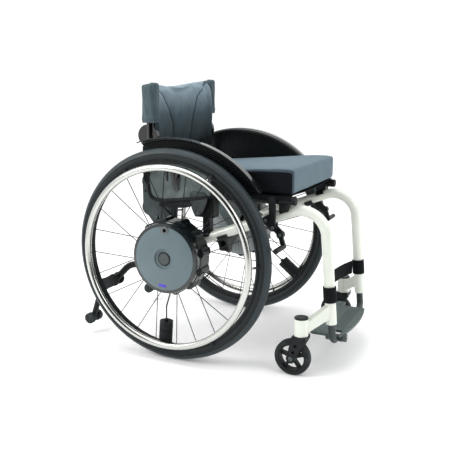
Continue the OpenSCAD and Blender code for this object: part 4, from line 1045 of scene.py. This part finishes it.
def skirt_form(side, rows=40, columns=26):
    """Plate between the edging's line and an arc round the axle, blended linearly from the lower to the upper."""
    low = smooth_path(EDGE_X[1:], EDGE_Z[1:], rows)
    angle = np.linspace(np.radians(105), np.radians(64), rows)
    reach = np.linspace(0.287, 0.262, rows)
    high = np.stack([AXLE_X + reach * np.cos(angle), AXLE_Z + reach * np.sin(angle)], axis=1)
    share = np.linspace(0, 1, columns)[None, :, None]
    flat = low[:, None] * (1 - share) + high[:, None] * share
    points = grid(flat[..., 0], side * (GUARD_FACE + 0.0003), flat[..., 1])
    return points if side > 0 else points[::-1]


skirt_grey = finish("skirt_grey", moulded(colour(86, 98, 98), colour(116, 128, 127), 0.38, 800.0, 0.0003))
for word, side in SIDES.items():
    panel = surface(f"{word}_skirt_panel", skirt_form(side))
    thick = panel.modifiers.new("wall", "SOLIDIFY")
    thick.thickness, thick.offset = 0.0012, 1.0
    put(panel, skirt_grey, f"{word}_side")
    put(closed(f"{word}_skirt_edging", edging_form(side)), grain_black, f"{word}_side")
print("skirt panels ready")

# %% [markdown]
# Two dark pockets are let into each skirt panel. Below the edging a black carrier bar holds the guard, and a moulded
# plate covers the bar's front end. All of them are closed outlines in a few rows, one behind the other.

# %% Pockets and plates
def pocket_form(side, x, z, half_w, half_h, narrow):
    """Shallow tapered block with round corners: a superellipse outline in four rising rows."""
    turn = once_round(64)
    u, v = squared(np.cos(turn), 0.35), squared(np.sin(turn), 0.35)
    rise = np.array([0.0, 0.0024, 0.0032, 0.0034])
    size = np.array([1.0, 1.0, 0.9, 0.05])
    points = grid(x + size[:, None] * half_w * u * (1 - narrow * (0.5 - v / 2)),
                  side * (GUARD_FACE + 0.0012 + rise[:, None]), z + size[:, None] * half_h * v)
    return points if side > 0 else points[:, ::-1]


def plate_form(side, corners, inner, outer):
    """Moulded plate: a softened outline of corners, in rows that go from the inner face round to the outer face."""
    ring = np.array(corners + corners[:1])
    line = np.concatenate([np.linspace(a, b, 12, endpoint=False) for a, b in zip(ring[:-1], ring[1:])])
    for _ in range(10):
        line = (np.roll(line, 1, axis=0) + 2 * line + np.roll(line, -1, axis=0)) / 4
    middle = line.mean(axis=0)
    size = np.array([0.05, 0.94, 1.0, 1.0, 0.96, 0.86, 0.84, 0.05])
    depth = np.array([0.0, 0.0, 0.2, 0.7, 1.0, 1.0, 0.85, 0.85])
    flat = middle + size[:, None, None] * (line - middle)
    points = grid(flat[..., 0], side * (inner + depth[:, None] * (outer - inner)), flat[..., 1])
    return points if side < 0 else points[:, ::-1]


# label: centre X from the axle, Z, half width, half height, taper
POCKETS = {"slim_pocket": (-0.026, 0.530, 0.0035, 0.017, 0.2), "wide_pocket": (0.003, 0.514, 0.0150, 0.027, 0.45)}
# label: corners as X and Z, inner and outer face as distance from the middle, finish
PLATES = {
    "guard_carrier": ([(-0.126, 0.433), (-0.018, 0.4415), (-0.012, 0.472), (-0.120, 0.459)],
                      0.2190, 0.2230, satin_black),
    "guard_plate": ([(-0.0235, 0.4900), (0.0265, 0.4890), (0.0345, 0.4678), (0.0187, 0.431), (-0.0034, 0.415),
                     (-0.0170, 0.4417)], 0.2236, 0.2268, hanger_grey),
}
for word, side in SIDES.items():
    for label, (x, *sizes) in POCKETS.items():
        pocket = closed(f"{word}_{label}", pocket_form(side, AXLE_X + x, *sizes), sharp=40)
        put(pocket, gloss_black, f"{word}_side")
    for label, (corners, inner, outer, material) in PLATES.items():
        plate = closed(f"{word}_{label}", plate_form(side, corners, inner, outer), sharp=40)
        put(plate, material, f"{word}_side")
print(len(POCKETS) + len(PLATES), "pieces on each guard")

# %% [markdown]
# Small trim closes open ends: stepped plugs in the seat rails, a bright ring round each tip-guard bolt, and contacts
# in the charging sockets.

# %% Plugs, rings and contacts
RAIL_ENDS = (("front", 0.2765, 1.0), ("rear", -0.1285, -1.0))
SOCKET_ANGLE, SOCKET_REACH = {"right": 87, "left": 142}, 0.082
for word, side in SIDES.items():
    for label, x, way in RAIL_ENDS:
        plug = turned(f"{word}_{label}_rail_plug", (x, side * RAIL_HALF, RAIL_Z), (way, 0, 0),
                      [(0.0118, 0.0), (0.0118, 0.0012), (0.0108, 0.0024), (0.0070, 0.0030), (0.0066, 0.0024),
                       (0.0006, 0.0024)])
        put(plug, grain_black, RAIL_OF[word])
    ring = turned(f"{word}_tip_ring", (TIP_X, side * 0.1996, TIP_Z), (0, side, 0),
                  [(0.0128, 0.0), (0.0128, 0.0012), (0.0120, 0.0018), (0.0098, 0.0018), (0.0092, 0.0012)])
    put(ring, bright_metal, f"{word}_side")
    angle = math.radians(SOCKET_ANGLE[word])
    centre = (AXLE_X + SOCKET_REACH * math.cos(angle), side * 0.2886, AXLE_Z + SOCKET_REACH * math.sin(angle))
    contact = turned(f"{word}_socket_contact", centre, (0, side, 0),
                     [(0.0052, 0.0), (0.0052, 0.0008), (0.0022, 0.0010), (0.0020, 0.0050), (0.0014, 0.0060),
                      (0.0002, 0.0062)])
    put(contact, grain_black, f"{word}_wheel")
print("trim ready")
